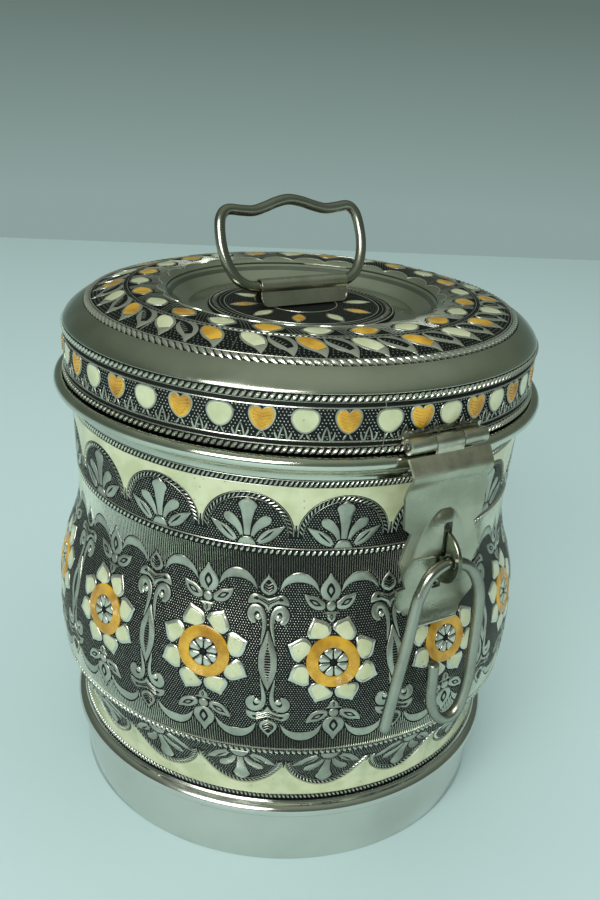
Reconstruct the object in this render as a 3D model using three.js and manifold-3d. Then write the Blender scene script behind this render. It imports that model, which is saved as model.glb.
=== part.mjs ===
// Round embossed steel storage container with a hinged lid, a drop handle, a hasp and a lock hook.
// Millimetres, +Z up. The origin is the centre of the flat underside. The hasp faces -Y.
import * as THREE from 'three';
import { mergeVertices } from 'three/addons/utils/BufferGeometryUtils.js';
import Module from 'manifold-3d';

const wasm = await Module();
wasm.setup();

// Sheet, wire and fits
const sheet = 1.0;
const strap_sheet = 1.2;
const seat_gap = 0.3;
const bore_gap = 0.3;
const cut_overrun = 4;
const turn_segments = 40;
const wire_segments = 8;

// Heights from the floor up
const foot_height = 24.5;
const foot_bead_height = 5.7;
const cove_height = 0.9;
const body_height = 138.9;
const collar_height = 10.5;
const band_height = 20.5;

// Radii of the foot, the body and the rim
const rim_radius = 100;
const foot_draw = 8;
const foot_taper = 0.8;
const foot_bead_stand = 2.9;
const waist_draw = 8.1;
const belly_swell = 9.1;
const bead_radius = 2.5;
const rim_wire_radius = 1.5;
const sleeve_length = 6;

// Rope mouldings pressed into the sheet
const rope_width = 2.6;
const rope_stand = 0.9;

// Lid
const band_draw = 4.2;
const shoulder_stand = 0.4;
const shoulder_height = 6.6;
const shoulder_width = 9;
const lid_ring_width = 32;
const lid_ring_rise = 6.8;
const lid_edge_rope = 3.0;
const dish_depth = 7.5;
const dish_width = 16.6;
const medallion_rise = 1.2;

// Hinges at the back and at the hasp
const knuckle_radius = 2.9;
const pin_radius = 1.05;
const hinge_length = 32.6;
const middle_knuckle = 12.2;
const knuckle_gap = 0.3;
const hinge_lift = 3.8;
const leaf_height = 4;
const leaf_overlap = 0.3;

// Rear strap
const strap_width = 26;
const strap_drop = 30;

// Hasp
const hasp_overhang = 1;
const hasp_drop = 68;
const hasp_stand = 3.1;
const slot_width = 3.6;
const slot_height = 27;
const slot_drop = 41.9;
const hood_stand = 3;
const hood_width = 24;
const hood_height = 17.5;
const hood_drop = 24;

// Lug and lock hook
const lug_thickness = 1.6;
const lug_height = 20.4;
const lug_reach = 20.4;
const lug_drop = 41.6;
const lug_plate_width = 12;
const lug_plate_height = 26;
const eye_radius = 2.9;
const eye_edge = 1.9;
const eye_rise = 0.3;
const hook_rod_radius = 2.15;
const hook_reach = 22;
const hook_drop = 68.4;

// Handle
const bail_radius = 2.15;
const bail_half_width = 32.5;
const bail_height = 34;
const bail_slide = -1.3;
const bail_lean = THREE.MathUtils.degToRad(22);
const bracket_length = 40;
const bracket_lift = 5.85;
const bracket_splay = 1.8;
const bracket_sheet = 0.6;

// Radii and places worked out from the sizes above
const foot_radius = rim_radius - foot_draw;
const waist_radius = rim_radius - waist_draw;
const band_radius = rim_radius - band_draw;
const shoulder_radius = band_radius + shoulder_stand;
const lid_ring_outer = shoulder_radius - shoulder_width;
const lid_ring_inner = lid_ring_outer - lid_ring_width;
const medallion_radius = lid_ring_inner - dish_width;
const foot_bead_top = foot_height + foot_bead_height;
const body_low = foot_bead_top + cove_height + seat_gap;
const body_high = body_low + body_height;
const rim_high = body_high + collar_height;
const rim_centre = rim_radius - bead_radius;
const bead_z = rim_high - bead_radius;
const band_low = rim_high + seat_gap;
const band_high = band_low + band_height;
const shoulder_high = band_high + shoulder_height;
const lid_edge_high = shoulder_high + lid_edge_rope;
const hinge_z = band_low + hinge_lift;
const leaf_back = band_radius + seat_gap;
const hinge_y = leaf_back + sheet + knuckle_radius - leaf_overlap;
const ring_crest = shoulder_high + lid_ring_rise;
const crest_radius = lid_ring_inner + lid_ring_width * 0.25;
const ring_inner_drop = lid_ring_rise * 0.22;
const dish_low = ring_crest - lid_ring_rise * 0.25 - dish_depth;
const medallion_low = dish_low + sheet;
const bail_z = medallion_low + medallion_rise + bracket_lift + bail_radius;
const knuckle_bore = pin_radius + bore_gap;
const hasp_width = hinge_length + 2 * hasp_overhang;
const hasp_face = hinge_y + hasp_stand;
const lug_z = hinge_z - lug_drop;
const lug_plate_back = waist_radius + rope_stand + 2 * seat_gap;
const lug_tip = lug_plate_back + sheet + lug_reach;
const eye_y = lug_tip - eye_edge - eye_radius;
const hook_z = lug_z - eye_rise;

// Outline of the body wall: height as a share of the body, swell as a share of the belly
const body_shares = [
  [0.018, -0.055], [0.048, -0.033], [0.098, 0.121], [0.134, 0.34], [0.163, 0.55], [0.192, 0.736],
  [0.230, 0.88], [0.285, 0.965], [0.365, 1.0], [0.450, 0.94], [0.537, 0.692], [0.588, 0.44],
  [0.638, 0.187], [0.688, 0.033], [0.739, 0.0], [0.860, 0.088], [0.978, 0.143],
];
const body_rope_shares = [0.010, 0.2145, 0.795, 0.987];

// Half of the handle wire from the joint in the bracket to the peak
const bail_shares = [
  [0.012, 0], [0.40, 0], [0.64, 0], [0.75, 0.03], [0.87, 0.12], [0.96, 0.29], [1.0, 0.50],
  [0.985, 0.74], [0.93, 0.86], [0.84, 0.905], [0.68, 0.89], [0.51, 0.88], [0.34, 0.92], [0.18, 0.97],
];

// Lock hook from the cut end of its long leg, over the eye and round to the short leg
const hook_shares = [
  [-0.991, -0.931], [-0.895, -0.748], [-0.727, -0.457], [-0.609, -0.199], [-0.541, -0.129],
  [-0.418, -0.053], [-0.225, -0.012], [0, 0], [0.19, -0.018], [0.35, -0.047], [0.46, -0.082],
  [0.57, -0.136], [0.65, -0.2], [0.695, -0.27], [0.715, -0.36], [0.715, -0.606],
  [0.705, -0.767], [0.66, -0.861], [0.59, -0.94], [0.46, -0.991], [0.28, -1.0], [0.114, -0.966],
  [-0.023, -0.89], [-0.082, -0.805], [-0.091, -0.707], [-0.105, -0.605],
];

// One side of the hasp's cut edge, from the hinge down: half width share and drop share
const hasp_edge_shares = [
  [1.0, 0.05], [0.97, 0.197], [1.03, 0.256], [0.97, 0.425], [0.79, 0.46], [1.01, 0.62],
  [0.79, 0.775], [0.995, 0.78], [0.995, 0.862], [0.936, 0.891], [0.636, 0.943], [0.486, 1.006],
];

const finishes = {
  oxidised: { color: 0x6f7674, roughness: 0.45, metalness: 0.9 },
  polished: { color: 0xc9cdc8, roughness: 0.18, metalness: 1.0 },
  wire: { color: 0xb9bdb4, roughness: 0.25, metalness: 1.0 },
};

const container = new THREE.Group();

function closed(geometry) {
  // Merges shared corners, drops empty triangles and turns the faces outward.
  const bare = geometry.clone();
  bare.deleteAttribute('normal');
  bare.deleteAttribute('uv');
  const merged = mergeVertices(bare, 1e-4);
  const index = merged.index.array;
  const corners = merged.attributes.position;
  const kept = [];
  const a = new THREE.Vector3();
  const b = new THREE.Vector3();
  const c = new THREE.Vector3();
  let volume = 0;
  for (let i = 0; i < index.length; i += 3) {
    const [p, q, r] = [index[i], index[i + 1], index[i + 2]];
    if (p === q || q === r || r === p) continue;
    kept.push([p, q, r]);
    a.fromBufferAttribute(corners, p);
    b.fromBufferAttribute(corners, q);
    c.fromBufferAttribute(corners, r);
    volume += a.dot(b.cross(c));
  }
  merged.setIndex(kept.flatMap(([p, q, r]) => (volume < 0 ? [p, r, q] : [p, q, r])));
  return merged;
}

function toSolid(geometry) {
  const mesh = closed(geometry);
  return new wasm.Manifold(new wasm.Mesh({
    numProp: 3,
    vertProperties: new Float32Array(mesh.attributes.position.array),
    triVerts: new Uint32Array(mesh.index.array),
  }));
}

function fromSolid(solid) {
  const mesh = solid.getMesh();
  const geometry = new THREE.BufferGeometry();
  geometry.setAttribute('position', new THREE.BufferAttribute(new Float32Array(mesh.vertProperties), 3));
  geometry.setIndex(Array.from(mesh.triVerts));
  return geometry;
}

function add(name, geometry, finish) {
  const shape = closed(geometry);
  shape.computeVertexNormals();
  const mesh = new THREE.Mesh(shape, new THREE.MeshStandardMaterial(finishes[finish]));
  mesh.name = name;
  container.add(mesh);
}

function turned(outline) {
  // Revolves a closed outline of radius and height pairs about Z.
  const points = outline.map(([radius, height]) => new THREE.Vector2(radius, height));
  points.push(points[0].clone());
  return new THREE.LatheGeometry(points, turn_segments).rotateX(Math.PI / 2);
}

function shapeOf(points) {
  return new THREE.Shape(points.map(([x, y]) => new THREE.Vector2(x, y)));
}

function acrossX(shape, width) {
  // Extrudes a shape drawn as outward distance and height, centred on X, towards -Y.
  const solid = new THREE.ExtrudeGeometry(shape, { depth: width, bevelEnabled: false, curveSegments: 12 });
  return solid.translate(0, 0, -width / 2).rotateX(Math.PI / 2).rotateZ(-Math.PI / 2);
}

function acrossY(shape, depth, front) {
  // Extrudes a shape drawn as X and height, from the front distance towards the axis.
  const solid = new THREE.ExtrudeGeometry(shape, { depth, bevelEnabled: false, curveSegments: 12 });
  return solid.rotateX(Math.PI / 2).translate(0, depth - front, 0);
}

function rod(path, radius, steps) {
  const section = new THREE.Shape();
  section.absarc(0, 0, radius, 0, 2 * Math.PI, false);
  return new THREE.ExtrudeGeometry(section, {
    steps, extrudePath: path, curveSegments: wire_segments / 2, bevelEnabled: false,
  });
}

function barX(radius, from, to, y, z) {
  const length = to - from;
  const bar = new THREE.CylinderGeometry(radius, radius, length, 2 * wire_segments);
  return bar.rotateZ(Math.PI / 2).translate((from + to) / 2, y, z);
}

function bodyRadius(share) {
  // Radius of the plain body wall at a share of its height.
  const last = body_shares.length - 1;
  let k = body_shares.findIndex(([height]) => height > share);
  if (k < 0) k = last;
  if (k === 0) k = 1;
  const [h0, s0] = body_shares[k - 1];
  const [h1, s1] = body_shares[k];
  const t = THREE.MathUtils.clamp((share - h0) / (h1 - h0), 0, 1);
  return waist_radius + (s0 + (s1 - s0) * t) * belly_swell;
}

function ridge(radius, height) {
  // Corners of a rope moulding pressed outward at a height.
  return [
    [radius, height - rope_width / 2], [radius + rope_stand, height - rope_width / 5],
    [radius + rope_stand, height + rope_width / 5], [radius, height + rope_width / 2],
  ];
}

function bodyShell() {
  const ropes = body_rope_shares.map((share) => body_low + share * body_height);
  const wall = body_shares
    .map(([share]) => [bodyRadius(share), body_low + share * body_height])
    .filter(([, height]) => ropes.every((rope) => Math.abs(height - rope) > rope_width * 0.6));
  const outer = [...wall, ...ropes.flatMap((z, i) => ridge(bodyRadius(body_rope_shares[i]), z))]
    .map(([radius, height]) => [radius, THREE.MathUtils.clamp(height, body_low, body_high)])
    .sort((p, q) => p[1] - q[1]);
  const inner = body_shares
    .filter((_, i) => i % 2 === 0)
    .map(([share]) => [bodyRadius(share) - sheet, body_low + share * body_height]);
  inner[0][1] = body_low;
  inner[inner.length - 1][1] = body_high;
  return turned([...outer, ...inner.reverse()]);
}

function baseRing() {
  const low = foot_radius - foot_taper;
  const bead = foot_radius + foot_bead_stand;
  const inner = Math.min(bodyRadius(0), bodyRadius(sleeve_length / body_height)) - sheet - seat_gap;
  return turned([
    [low, 0], [foot_radius, foot_height],
    [foot_radius + foot_bead_stand * 0.7, foot_height + foot_bead_height * 0.08],
    [bead, foot_height + foot_bead_height * 0.32],
    [bead, foot_height + foot_bead_height * 0.62],
    [foot_radius + foot_bead_stand * 0.6, foot_height + foot_bead_height * 0.92],
    [foot_radius, foot_bead_top + cove_height * 0.4], [waist_radius - seat_gap, body_low - seat_gap],
    [inner, body_low - seat_gap], [inner, body_low + sleeve_length],
    [inner - sheet, body_low + sleeve_length], [inner - sheet, body_low - sleeve_length],
    [low - sheet, foot_height - sleeve_length], [low - sheet, 0],
  ]);
}

function bottomPlate() {
  const edge = foot_radius - foot_taper - sheet - seat_gap;
  return turned([[0, 0], [edge, 0], [edge, sheet], [0, sheet]]);
}

function rimCollar() {
  const neck = bodyRadius(1);
  const sleeve = Math.min(neck, bodyRadius(1 - sleeve_length / body_height)) - sheet - seat_gap;
  const step = body_high + seat_gap;
  const flare = rim_centre - neck;
  const flare_height = bead_z - bead_radius - step;
  const around = (radius, turns) => turns.map((degrees) => {
    const turn = THREE.MathUtils.degToRad(degrees);
    return [rim_centre + radius * Math.cos(turn), bead_z + radius * Math.sin(turn)];
  });
  const curl = bead_radius - sheet * 0.6;
  return turned([
    [sleeve, body_high - sleeve_length], [sleeve, step], [neck, step],
    [neck + flare * 0.12, step + flare_height * 0.25], [neck + flare * 0.42, step + flare_height * 0.62],
    [neck + flare * 0.75, step + flare_height * 0.9],
    ...around(bead_radius, [-90, -45, 0, 45, 90, 135, 180]), ...around(curl, [180, 120, 60, 0, -70]),
    [neck + flare * 0.62, step + flare_height * 0.98], [neck + flare * 0.2, step + flare_height * 0.62],
    [neck - sheet * 0.6, step + flare_height * 0.25], [sleeve - sheet, step - sheet],
    [sleeve - sheet, body_high - sleeve_length],
  ]);
}

function rimWire() {
  const ring = new THREE.TorusGeometry(rim_centre, rim_wire_radius, wire_segments / 2 + 1, turn_segments);
  return ring.translate(0, 0, bead_z);
}

function lidBand() {
  const low_rope = band_low + rope_width / 2;
  const high_rope = band_high - rope_width / 2;
  return turned([
    [band_radius, band_low], ...ridge(band_radius, low_rope).slice(1),
    ...ridge(band_radius, high_rope).slice(0, 3), [band_radius - rope_stand, band_high],
    [band_radius - sheet, band_high], [band_radius - sheet, band_low],
  ]);
}

function lidCap() {
  // Inner skirt, polished shoulder, seat of the embossed ring, dish and seat of the medallion.
  const skirt = band_radius - sheet - seat_gap;
  const rise = shoulder_high - band_high;
  const inward = shoulder_radius - lid_ring_outer;
  const rim_seat = shoulder_high - sheet * 0.4;
  const crest_z = ring_crest - sheet - seat_gap;
  const valley = (lid_ring_inner + medallion_radius) / 2;
  const top = [
    [skirt, band_low + seat_gap], [skirt, band_high + seat_gap],
    [shoulder_radius, band_high + seat_gap], [shoulder_radius - inward * 0.06, band_high + rise * 0.36],
    [shoulder_radius - inward * 0.22, band_high + rise * 0.66],
    [shoulder_radius - inward * 0.52, band_high + rise * 0.88],
    [lid_ring_outer + seat_gap, rim_seat], [lid_ring_outer - lid_edge_rope, rim_seat],
    [crest_radius + (lid_ring_outer - crest_radius) * 0.4, rim_seat + (crest_z - rim_seat) * 0.72],
    [crest_radius, crest_z], [lid_ring_inner - seat_gap, crest_z - ring_inner_drop],
    [valley + (lid_ring_inner - valley) * 0.5, dish_low + dish_depth * 0.35], [valley, dish_low],
    [medallion_radius, medallion_low - seat_gap], [0, medallion_low - seat_gap],
  ];
  const thick = sheet * 0.9;
  const under_side = top.slice(4).map(([radius, height]) => [Math.max(radius - thick, 0), height - thick]);
  under_side.unshift([skirt - thick, band_high + seat_gap + thick]);
  return turned([...top, ...under_side.reverse(), [skirt - thick, band_low + seat_gap]]);
}

function lidRing() {
  // Embossed ring on the lid: edge rope, gentle crown, and the turned inner edge.
  const low = shoulder_high - sheet * 0.4 + seat_gap;
  const edge = lid_ring_outer - lid_edge_rope;
  const crown = ring_crest - lid_edge_high;
  const top = [
    [lid_ring_outer - seat_gap, low], [lid_ring_outer, shoulder_high + lid_edge_rope * 0.4],
    [lid_ring_outer - lid_edge_rope * 0.3, shoulder_high + lid_edge_rope * 0.85],
    [lid_ring_outer - lid_edge_rope * 0.65, lid_edge_high + rope_stand * 0.2], [edge, lid_edge_high],
    [crest_radius + (edge - crest_radius) * 0.45, lid_edge_high + crown * 0.72], [crest_radius, ring_crest],
    [lid_ring_inner, ring_crest - ring_inner_drop],
  ];
  const crest_low = ring_crest - sheet;
  return turned([
    ...top, [lid_ring_inner, crest_low - ring_inner_drop], [crest_radius, crest_low],
    [crest_radius + (edge - crest_radius) * 0.42, low + (crest_low - low) * 0.76],
    [edge, low],
  ]);
}

function lidMedallion() {
  const high = medallion_low + medallion_rise;
  return turned([
    [0, medallion_low], [medallion_radius, medallion_low], [medallion_radius, medallion_low + sheet * 0.5],
    [medallion_radius - sheet, high - sheet * 0.3], [medallion_radius * 0.5, high], [0, high],
  ]);
}

function bentStrip(path, width, thickness) {
  // A strip of sheet bent along a path of outward distance and height pairs.
  const points = path.map(([y, z]) => new THREE.Vector2(y, z));
  const side = (sign) => points.map((point, i) => {
    const before = points[Math.max(i - 1, 0)];
    const after = points[Math.min(i + 1, points.length - 1)];
    const along = after.clone().sub(before).normalize();
    return [point.x - sign * along.y * thickness / 2, point.y + sign * along.x * thickness / 2];
  });
  return acrossX(shapeOf([...side(1), ...side(-1).reverse()]), width);
}

function knuckleRange(middle) {
  const half = hinge_length / 2;
  const inside = middle_knuckle / 2;
  if (middle) return [[-inside + knuckle_gap, inside - knuckle_gap]];
  return [[-half, -inside], [inside, half]];
}

function pierced(solid) {
  const reach = hinge_length / 2 + cut_overrun;
  return solid.subtract(toSolid(barX(knuckle_bore, -reach, reach, -hinge_y, hinge_z)));
}

function knuckles(middle) {
  const bars = knuckleRange(middle).map(([from, to]) => barX(knuckle_radius, from, to, -hinge_y, hinge_z));
  return bars.map(toSolid).reduce((all, bar) => all.add(bar));
}

function lidLeaf() {
  // Flat leaf soldered on the band with two knuckles and room for the middle one.
  const plate = new THREE.BoxGeometry(hinge_length, sheet, leaf_height);
  plate.translate(0, -leaf_back - sheet / 2, hinge_z + leaf_height / 2);
  const room = middle_knuckle / 2;
  const notch = barX(knuckle_radius + knuckle_gap, -room, room, -hinge_y, hinge_z);
  return pierced(toSolid(plate).subtract(toSolid(notch)).add(knuckles(false)));
}

function hingePin() {
  const half = hinge_length / 2 + knuckle_gap;
  return barX(pin_radius, -half, half, -hinge_y, hinge_z);
}

function strapOutline(half, drop) {
  // Narrow at the middle knuckle and full width below the side knuckles.
  const neck = middle_knuckle / 2 - knuckle_gap;
  const shoulder = hinge_z - knuckle_radius - sheet;
  return shapeOf([
    [-neck, hinge_z], [neck, hinge_z], [neck, shoulder], [half, shoulder], [half, hinge_z - drop],
    [-half, hinge_z - drop], [-half, shoulder], [-neck, shoulder],
  ]);
}

function rearStrap() {
  // Body leaf of the back hinge: out over the rolled rim and in to the neck.
  const neck = bodyRadius(1) + seat_gap + strap_sheet / 2;
  const rope = neck + rope_stand;
  const outside = rim_radius + knuckle_radius - strap_sheet / 2;
  const strip = bentStrip([
    [hinge_y + knuckle_radius * 0.4, hinge_z - knuckle_radius * 0.8], [outside, bead_z - bead_radius],
    [rope + sheet, body_high - sheet], [rope, body_high - rope_width * 0.8],
    [neck + seat_gap, body_high - rope_width * 2], [neck, hinge_z - strap_drop],
  ], strap_width, strap_sheet);
  const outline = acrossY(strapOutline(strap_width / 2, strap_drop), hinge_y, hinge_y + knuckle_radius);
  const plate = toSolid(strip).intersect(toSolid(outline));
  return pierced(plate.add(knuckles(true)));
}

function turnedRound(solid) {
  return fromSolid(solid).rotateZ(Math.PI);
}

function haspOutline() {
  const half = hasp_width / 2;
  const neck = middle_knuckle / 2 - knuckle_gap;
  const right = hasp_edge_shares.map(([across, down]) => [across * half, hinge_z - down * hasp_drop]);
  right[0][1] = hinge_z - knuckle_radius - hasp_stand * 0.2;
  const left = right.map(([x, z]) => [-x, z]).reverse();
  return shapeOf([[-neck, hinge_z], [neck, hinge_z], [neck, right[0][1]], ...right, ...left,
    [-neck, right[0][1]]]);
}

function haspHood() {
  // Raised hood pressed out above the slot: wide foot, narrow crown.
  const half = hood_width / 2;
  const low = hinge_z - hood_drop - hood_height;
  const hood = new THREE.Shape();
  hood.moveTo(-half, low);
  hood.lineTo(half, low);
  hood.quadraticCurveTo(half * 0.5, low + hood_height * 0.75, 0, low + hood_height);
  hood.quadraticCurveTo(-half * 0.5, low + hood_height * 0.75, -half, low);
  const slope = hood_stand * 0.9;
  const raised = new THREE.ExtrudeGeometry(hood, {
    depth: strap_sheet, bevelEnabled: true, bevelThickness: hood_stand - slope * 0.1, bevelSize: slope,
    bevelOffset: -slope, bevelSegments: 2, curveSegments: 6,
  });
  return raised.rotateX(Math.PI / 2).translate(0, -hasp_face + strap_sheet / 2, 0);
}

function haspPlate() {
  const half_sheet = strap_sheet / 2;
  const ridge_y = hasp_face + knuckle_radius - strap_sheet * 0.25;
  const strip = bentStrip([
    [hinge_y + knuckle_radius * 0.4, hinge_z - knuckle_radius * 0.8],
    [ridge_y, hinge_z - hasp_drop * 0.11], [hasp_face, hinge_z - hasp_drop * 0.2],
    [hasp_face, hinge_z - hasp_drop * 0.88], [hasp_face + half_sheet * 2, hinge_z - hasp_drop * 0.94],
    [ridge_y + half_sheet, hinge_z - hasp_drop * 0.99],
  ], hasp_width * 1.1, strap_sheet);
  const outline = acrossY(haspOutline(), hinge_y, ridge_y + cut_overrun);
  const slot = new THREE.BoxGeometry(slot_width, hinge_y, slot_height);
  slot.translate(0, -hinge_y, hinge_z - slot_drop);
  const plate = toSolid(strip).intersect(toSolid(outline)).add(toSolid(haspHood()));
  return fromSolid(pierced(plate.subtract(toSolid(slot)).add(knuckles(true))));
}

function latchLug() {
  // D-shaped eye on a small plate soldered to the waist.
  const low = lug_z - lug_height / 2;
  const high = lug_z + lug_height / 2;
  const back = lug_plate_back + sheet / 2;
  const turn = lug_tip - lug_height / 2;
  const tab = new THREE.Shape();
  tab.moveTo(back, low);
  tab.lineTo(turn, low);
  tab.absarc(turn, lug_z, lug_height / 2, -Math.PI / 2, Math.PI / 2, false);
  tab.lineTo(turn, high);
  tab.lineTo(back, high);
  const eye = barX(eye_radius, -cut_overrun, cut_overrun, -eye_y, lug_z);
  const plate = new THREE.BoxGeometry(lug_plate_width, sheet, lug_plate_height);
  plate.translate(0, -lug_plate_back - sheet / 2, lug_z);
  const solid = toSolid(acrossX(tab, lug_thickness)).subtract(toSolid(eye));
  return fromSolid(solid.add(toSolid(plate)));
}

function lockHook() {
  const points = hook_shares.map(([across, down]) => (
    new THREE.Vector3(across * hook_reach, -eye_y, hook_z + down * hook_drop)));
  const path = new THREE.CatmullRomCurve3(points, false, 'centripetal');
  return rod(path, hook_rod_radius, 56);
}

function handleBail() {
  // One bent wire whose ends meet inside the bracket, where it lies a little to one side.
  const half = bail_shares.map(([across, up]) => [across * bail_half_width, up * bail_height]);
  const loop = [...half, [0, bail_height], ...half.map(([x, w]) => [-x, w]).reverse()];
  const points = loop.map(([x, w]) => (
    new THREE.Vector3(x + bail_slide, w * Math.sin(bail_lean), bail_z + w * Math.cos(bail_lean))));
  return rod(new THREE.CatmullRomCurve3(points, false, 'centripetal'), bail_radius, 66);
}

function handleBracket() {
  // Sheet folded over the wire, its two sides splayed down to the medallion.
  const bore = bail_radius + bore_gap;
  const outer = bore + bracket_sheet;
  const foot = medallion_low + medallion_rise + seat_gap;
  const waist = bail_z - outer * 0.6;
  const side = (half, low) => [[half + bracket_splay, low], [half, waist]];
  const skirt = (half, low) => {
    const right = side(half, low);
    return shapeOf([...right, ...right.map(([y, z]) => [-y, z]).reverse()]);
  };
  const tube = toSolid(barX(outer, -bracket_length / 2, bracket_length / 2, 0, bail_z));
  const half = outer * 0.8;
  const outside = toSolid(acrossX(skirt(half, foot), bracket_length));
  const inside = toSolid(acrossX(skirt(half - bracket_sheet, foot - cut_overrun), 2 * bracket_length));
  const hole = barX(bore, -bracket_length, bracket_length, 0, bail_z);
  return fromSolid(outside.subtract(inside).add(tube).subtract(toSolid(hole)));
}

add('body_shell', bodyShell(), 'oxidised');
add('base_ring', baseRing(), 'polished');
add('bottom_plate', bottomPlate(), 'polished');
add('rim_collar', rimCollar(), 'polished');
add('rim_wire', rimWire(), 'wire');
add('lid_cap', lidCap(), 'polished');
add('lid_band', lidBand(), 'oxidised');
add('lid_ring', lidRing(), 'oxidised');
add('lid_medallion', lidMedallion(), 'oxidised');
add('handle_bracket', handleBracket(), 'polished');
add('handle_bail', handleBail(), 'wire');
add('rear_hinge_lid_leaf', turnedRound(lidLeaf()), 'polished');
add('rear_hinge_strap', turnedRound(rearStrap()), 'polished');
add('rear_hinge_pin', hingePin().rotateZ(Math.PI), 'wire');
add('hasp_hinge_leaf', fromSolid(lidLeaf()), 'polished');
add('hasp_hinge_pin', hingePin(), 'wire');
add('hasp_plate', haspPlate(), 'polished');
add('latch_lug', latchLug(), 'polished');
add('lock_hook', lockHook(), 'wire');

export default container;
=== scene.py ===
# %% [markdown]
# # An embossed and enamelled storage container
#
# The real object is a round kitchen container of thin sheet metal. Its wall was stamped in dies, so
# the ornament is a low relief: silvery leaves and flowers on a ground of tiny pearls. The ground was
# then blackened, the high spots were polished, and cream and orange enamel was laid in the flowers.
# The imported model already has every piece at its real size. This script gives each of them its
# surface, so it starts by loading that frame and never moves anything in it.
# %% Load the frame
import math
import random

import bmesh
import bpy
import numpy as np
from mathutils import Matrix, Vector


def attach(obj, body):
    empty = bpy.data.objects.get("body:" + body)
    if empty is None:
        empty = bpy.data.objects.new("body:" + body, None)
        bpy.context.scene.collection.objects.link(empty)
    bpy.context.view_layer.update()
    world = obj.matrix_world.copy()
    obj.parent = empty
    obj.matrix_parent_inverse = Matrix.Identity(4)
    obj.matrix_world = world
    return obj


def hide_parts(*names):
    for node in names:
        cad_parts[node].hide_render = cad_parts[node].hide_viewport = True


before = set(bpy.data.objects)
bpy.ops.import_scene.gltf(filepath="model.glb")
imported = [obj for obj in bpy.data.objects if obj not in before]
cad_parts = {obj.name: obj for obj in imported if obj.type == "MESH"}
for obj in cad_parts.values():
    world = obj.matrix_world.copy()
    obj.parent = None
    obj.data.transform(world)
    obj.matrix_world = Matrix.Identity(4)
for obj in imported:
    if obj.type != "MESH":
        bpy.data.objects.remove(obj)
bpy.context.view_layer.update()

mm = 0.001
collection = bpy.context.scene.collection

# %% [markdown]
# ## The camera
#
# The photograph was taken from above and to the left of the hasp. A camera could be placed
# by eye, but the ellipses of the rims fix it far better: their widths, heights and tilts give the
# distance, the pitch and the roll. Those angles are written here, and a matrix turns them into a camera.
# %% The camera
camera_place = Vector((-198.65, -328.0, 303.53)) * mm
camera_heading = math.radians(31.648)
camera_pitch = math.radians(22.789)
camera_roll = math.radians(3.402)
focal_pixels, picture_height = 952.2, 900


def camera_axes():
    """Right, up and forward of the camera, from its heading, pitch and roll."""
    flat = math.cos(camera_pitch)
    forward = Vector((math.sin(camera_heading) * flat, math.cos(camera_heading) * flat,
                      -math.sin(camera_pitch)))
    level = Vector((math.cos(camera_heading), -math.sin(camera_heading), 0))
    rise = level.cross(forward)
    right = math.cos(camera_roll) * level + math.sin(camera_roll) * rise
    return right, right.cross(forward), forward


def add_camera():
    data = bpy.data.cameras.new("camera")
    data.sensor_width = 36
    data.lens = focal_pixels / picture_height * data.sensor_width
    data.clip_start = 0.01
    camera = bpy.data.objects.new("camera", data)
    right, up, forward = camera_axes()
    turned = Matrix((right, up, -forward)).transposed().to_4x4()
    camera.matrix_world = Matrix.Translation(camera_place) @ turned
    collection.objects.link(camera)
    bpy.context.scene.camera = camera
    return camera


camera = add_camera()
print("lens in mm:", round(camera.data.lens, 2))

# %% [markdown]
# ## Shader groups
#
# Three effects come back in several finishes. Tarnish is the dark oxide that stays in hollows and in
# cloudy patches. Rub is the fine scratching of a polishing cloth. Mottle is the slight unevenness of
# hand-laid enamel. Each is built once as a node group that only gives out colours, masks and heights,
# so that each material can use it with its own values.
# %% Helpers for node groups


def new_group(name, inputs, outputs):
    """A group whose sockets are all numbers: inputs gives each name its first value."""
    group = bpy.data.node_groups.new(name, "ShaderNodeTree")
    for label, value in inputs.items():
        socket = group.interface.new_socket(label, in_out="INPUT", socket_type="NodeSocketFloat")
        socket.default_value = value
    for label in outputs:
        group.interface.new_socket(label, in_out="OUTPUT", socket_type="NodeSocketFloat")
    return group, group.nodes.new("NodeGroupInput"), group.nodes.new("NodeGroupOutput")


def feed(tree, socket, value):
    """Links a socket to another one, or sets its plain value."""
    if hasattr(value, "links"):
        tree.links.new(value, socket)
    else:
        socket.default_value = value


def node(tree, kind, links=None, **values):
    """A node with its settings, its socket values by name or number, and its links."""
    made = tree.nodes.new(kind)
    for name, value in values.items():
        setattr(made, name, value)
    for socket, value in (links or {}).items():
        feed(tree, made.inputs[socket], value)
    return made


def maths(tree, operation, first, second=0.0, clamp=False):
    made = node(tree, "ShaderNodeMath", {0: first, 1: second}, operation=operation, use_clamp=clamp)
    return made.outputs[0]


def blend_colours(tree, share, first, second):
    return node(tree, "ShaderNodeMix", {0: share, 6: first, 7: second}, data_type="RGBA").outputs[2]


def ramp(tree, value, low, high):
    """A mask that goes from 0 at low to 1 at high."""
    made = node(tree, "ShaderNodeMapRange", {0: value, 1: low, 2: high}, interpolation_type="SMOOTHSTEP")
    return made.outputs[0]


def noise(tree, place, scale, detail, **more):
    return node(tree, "ShaderNodeTexNoise",
                {"Vector": place, "Scale": scale, "Detail": detail, **more}).outputs[0]


# %% The tarnish group


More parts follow.
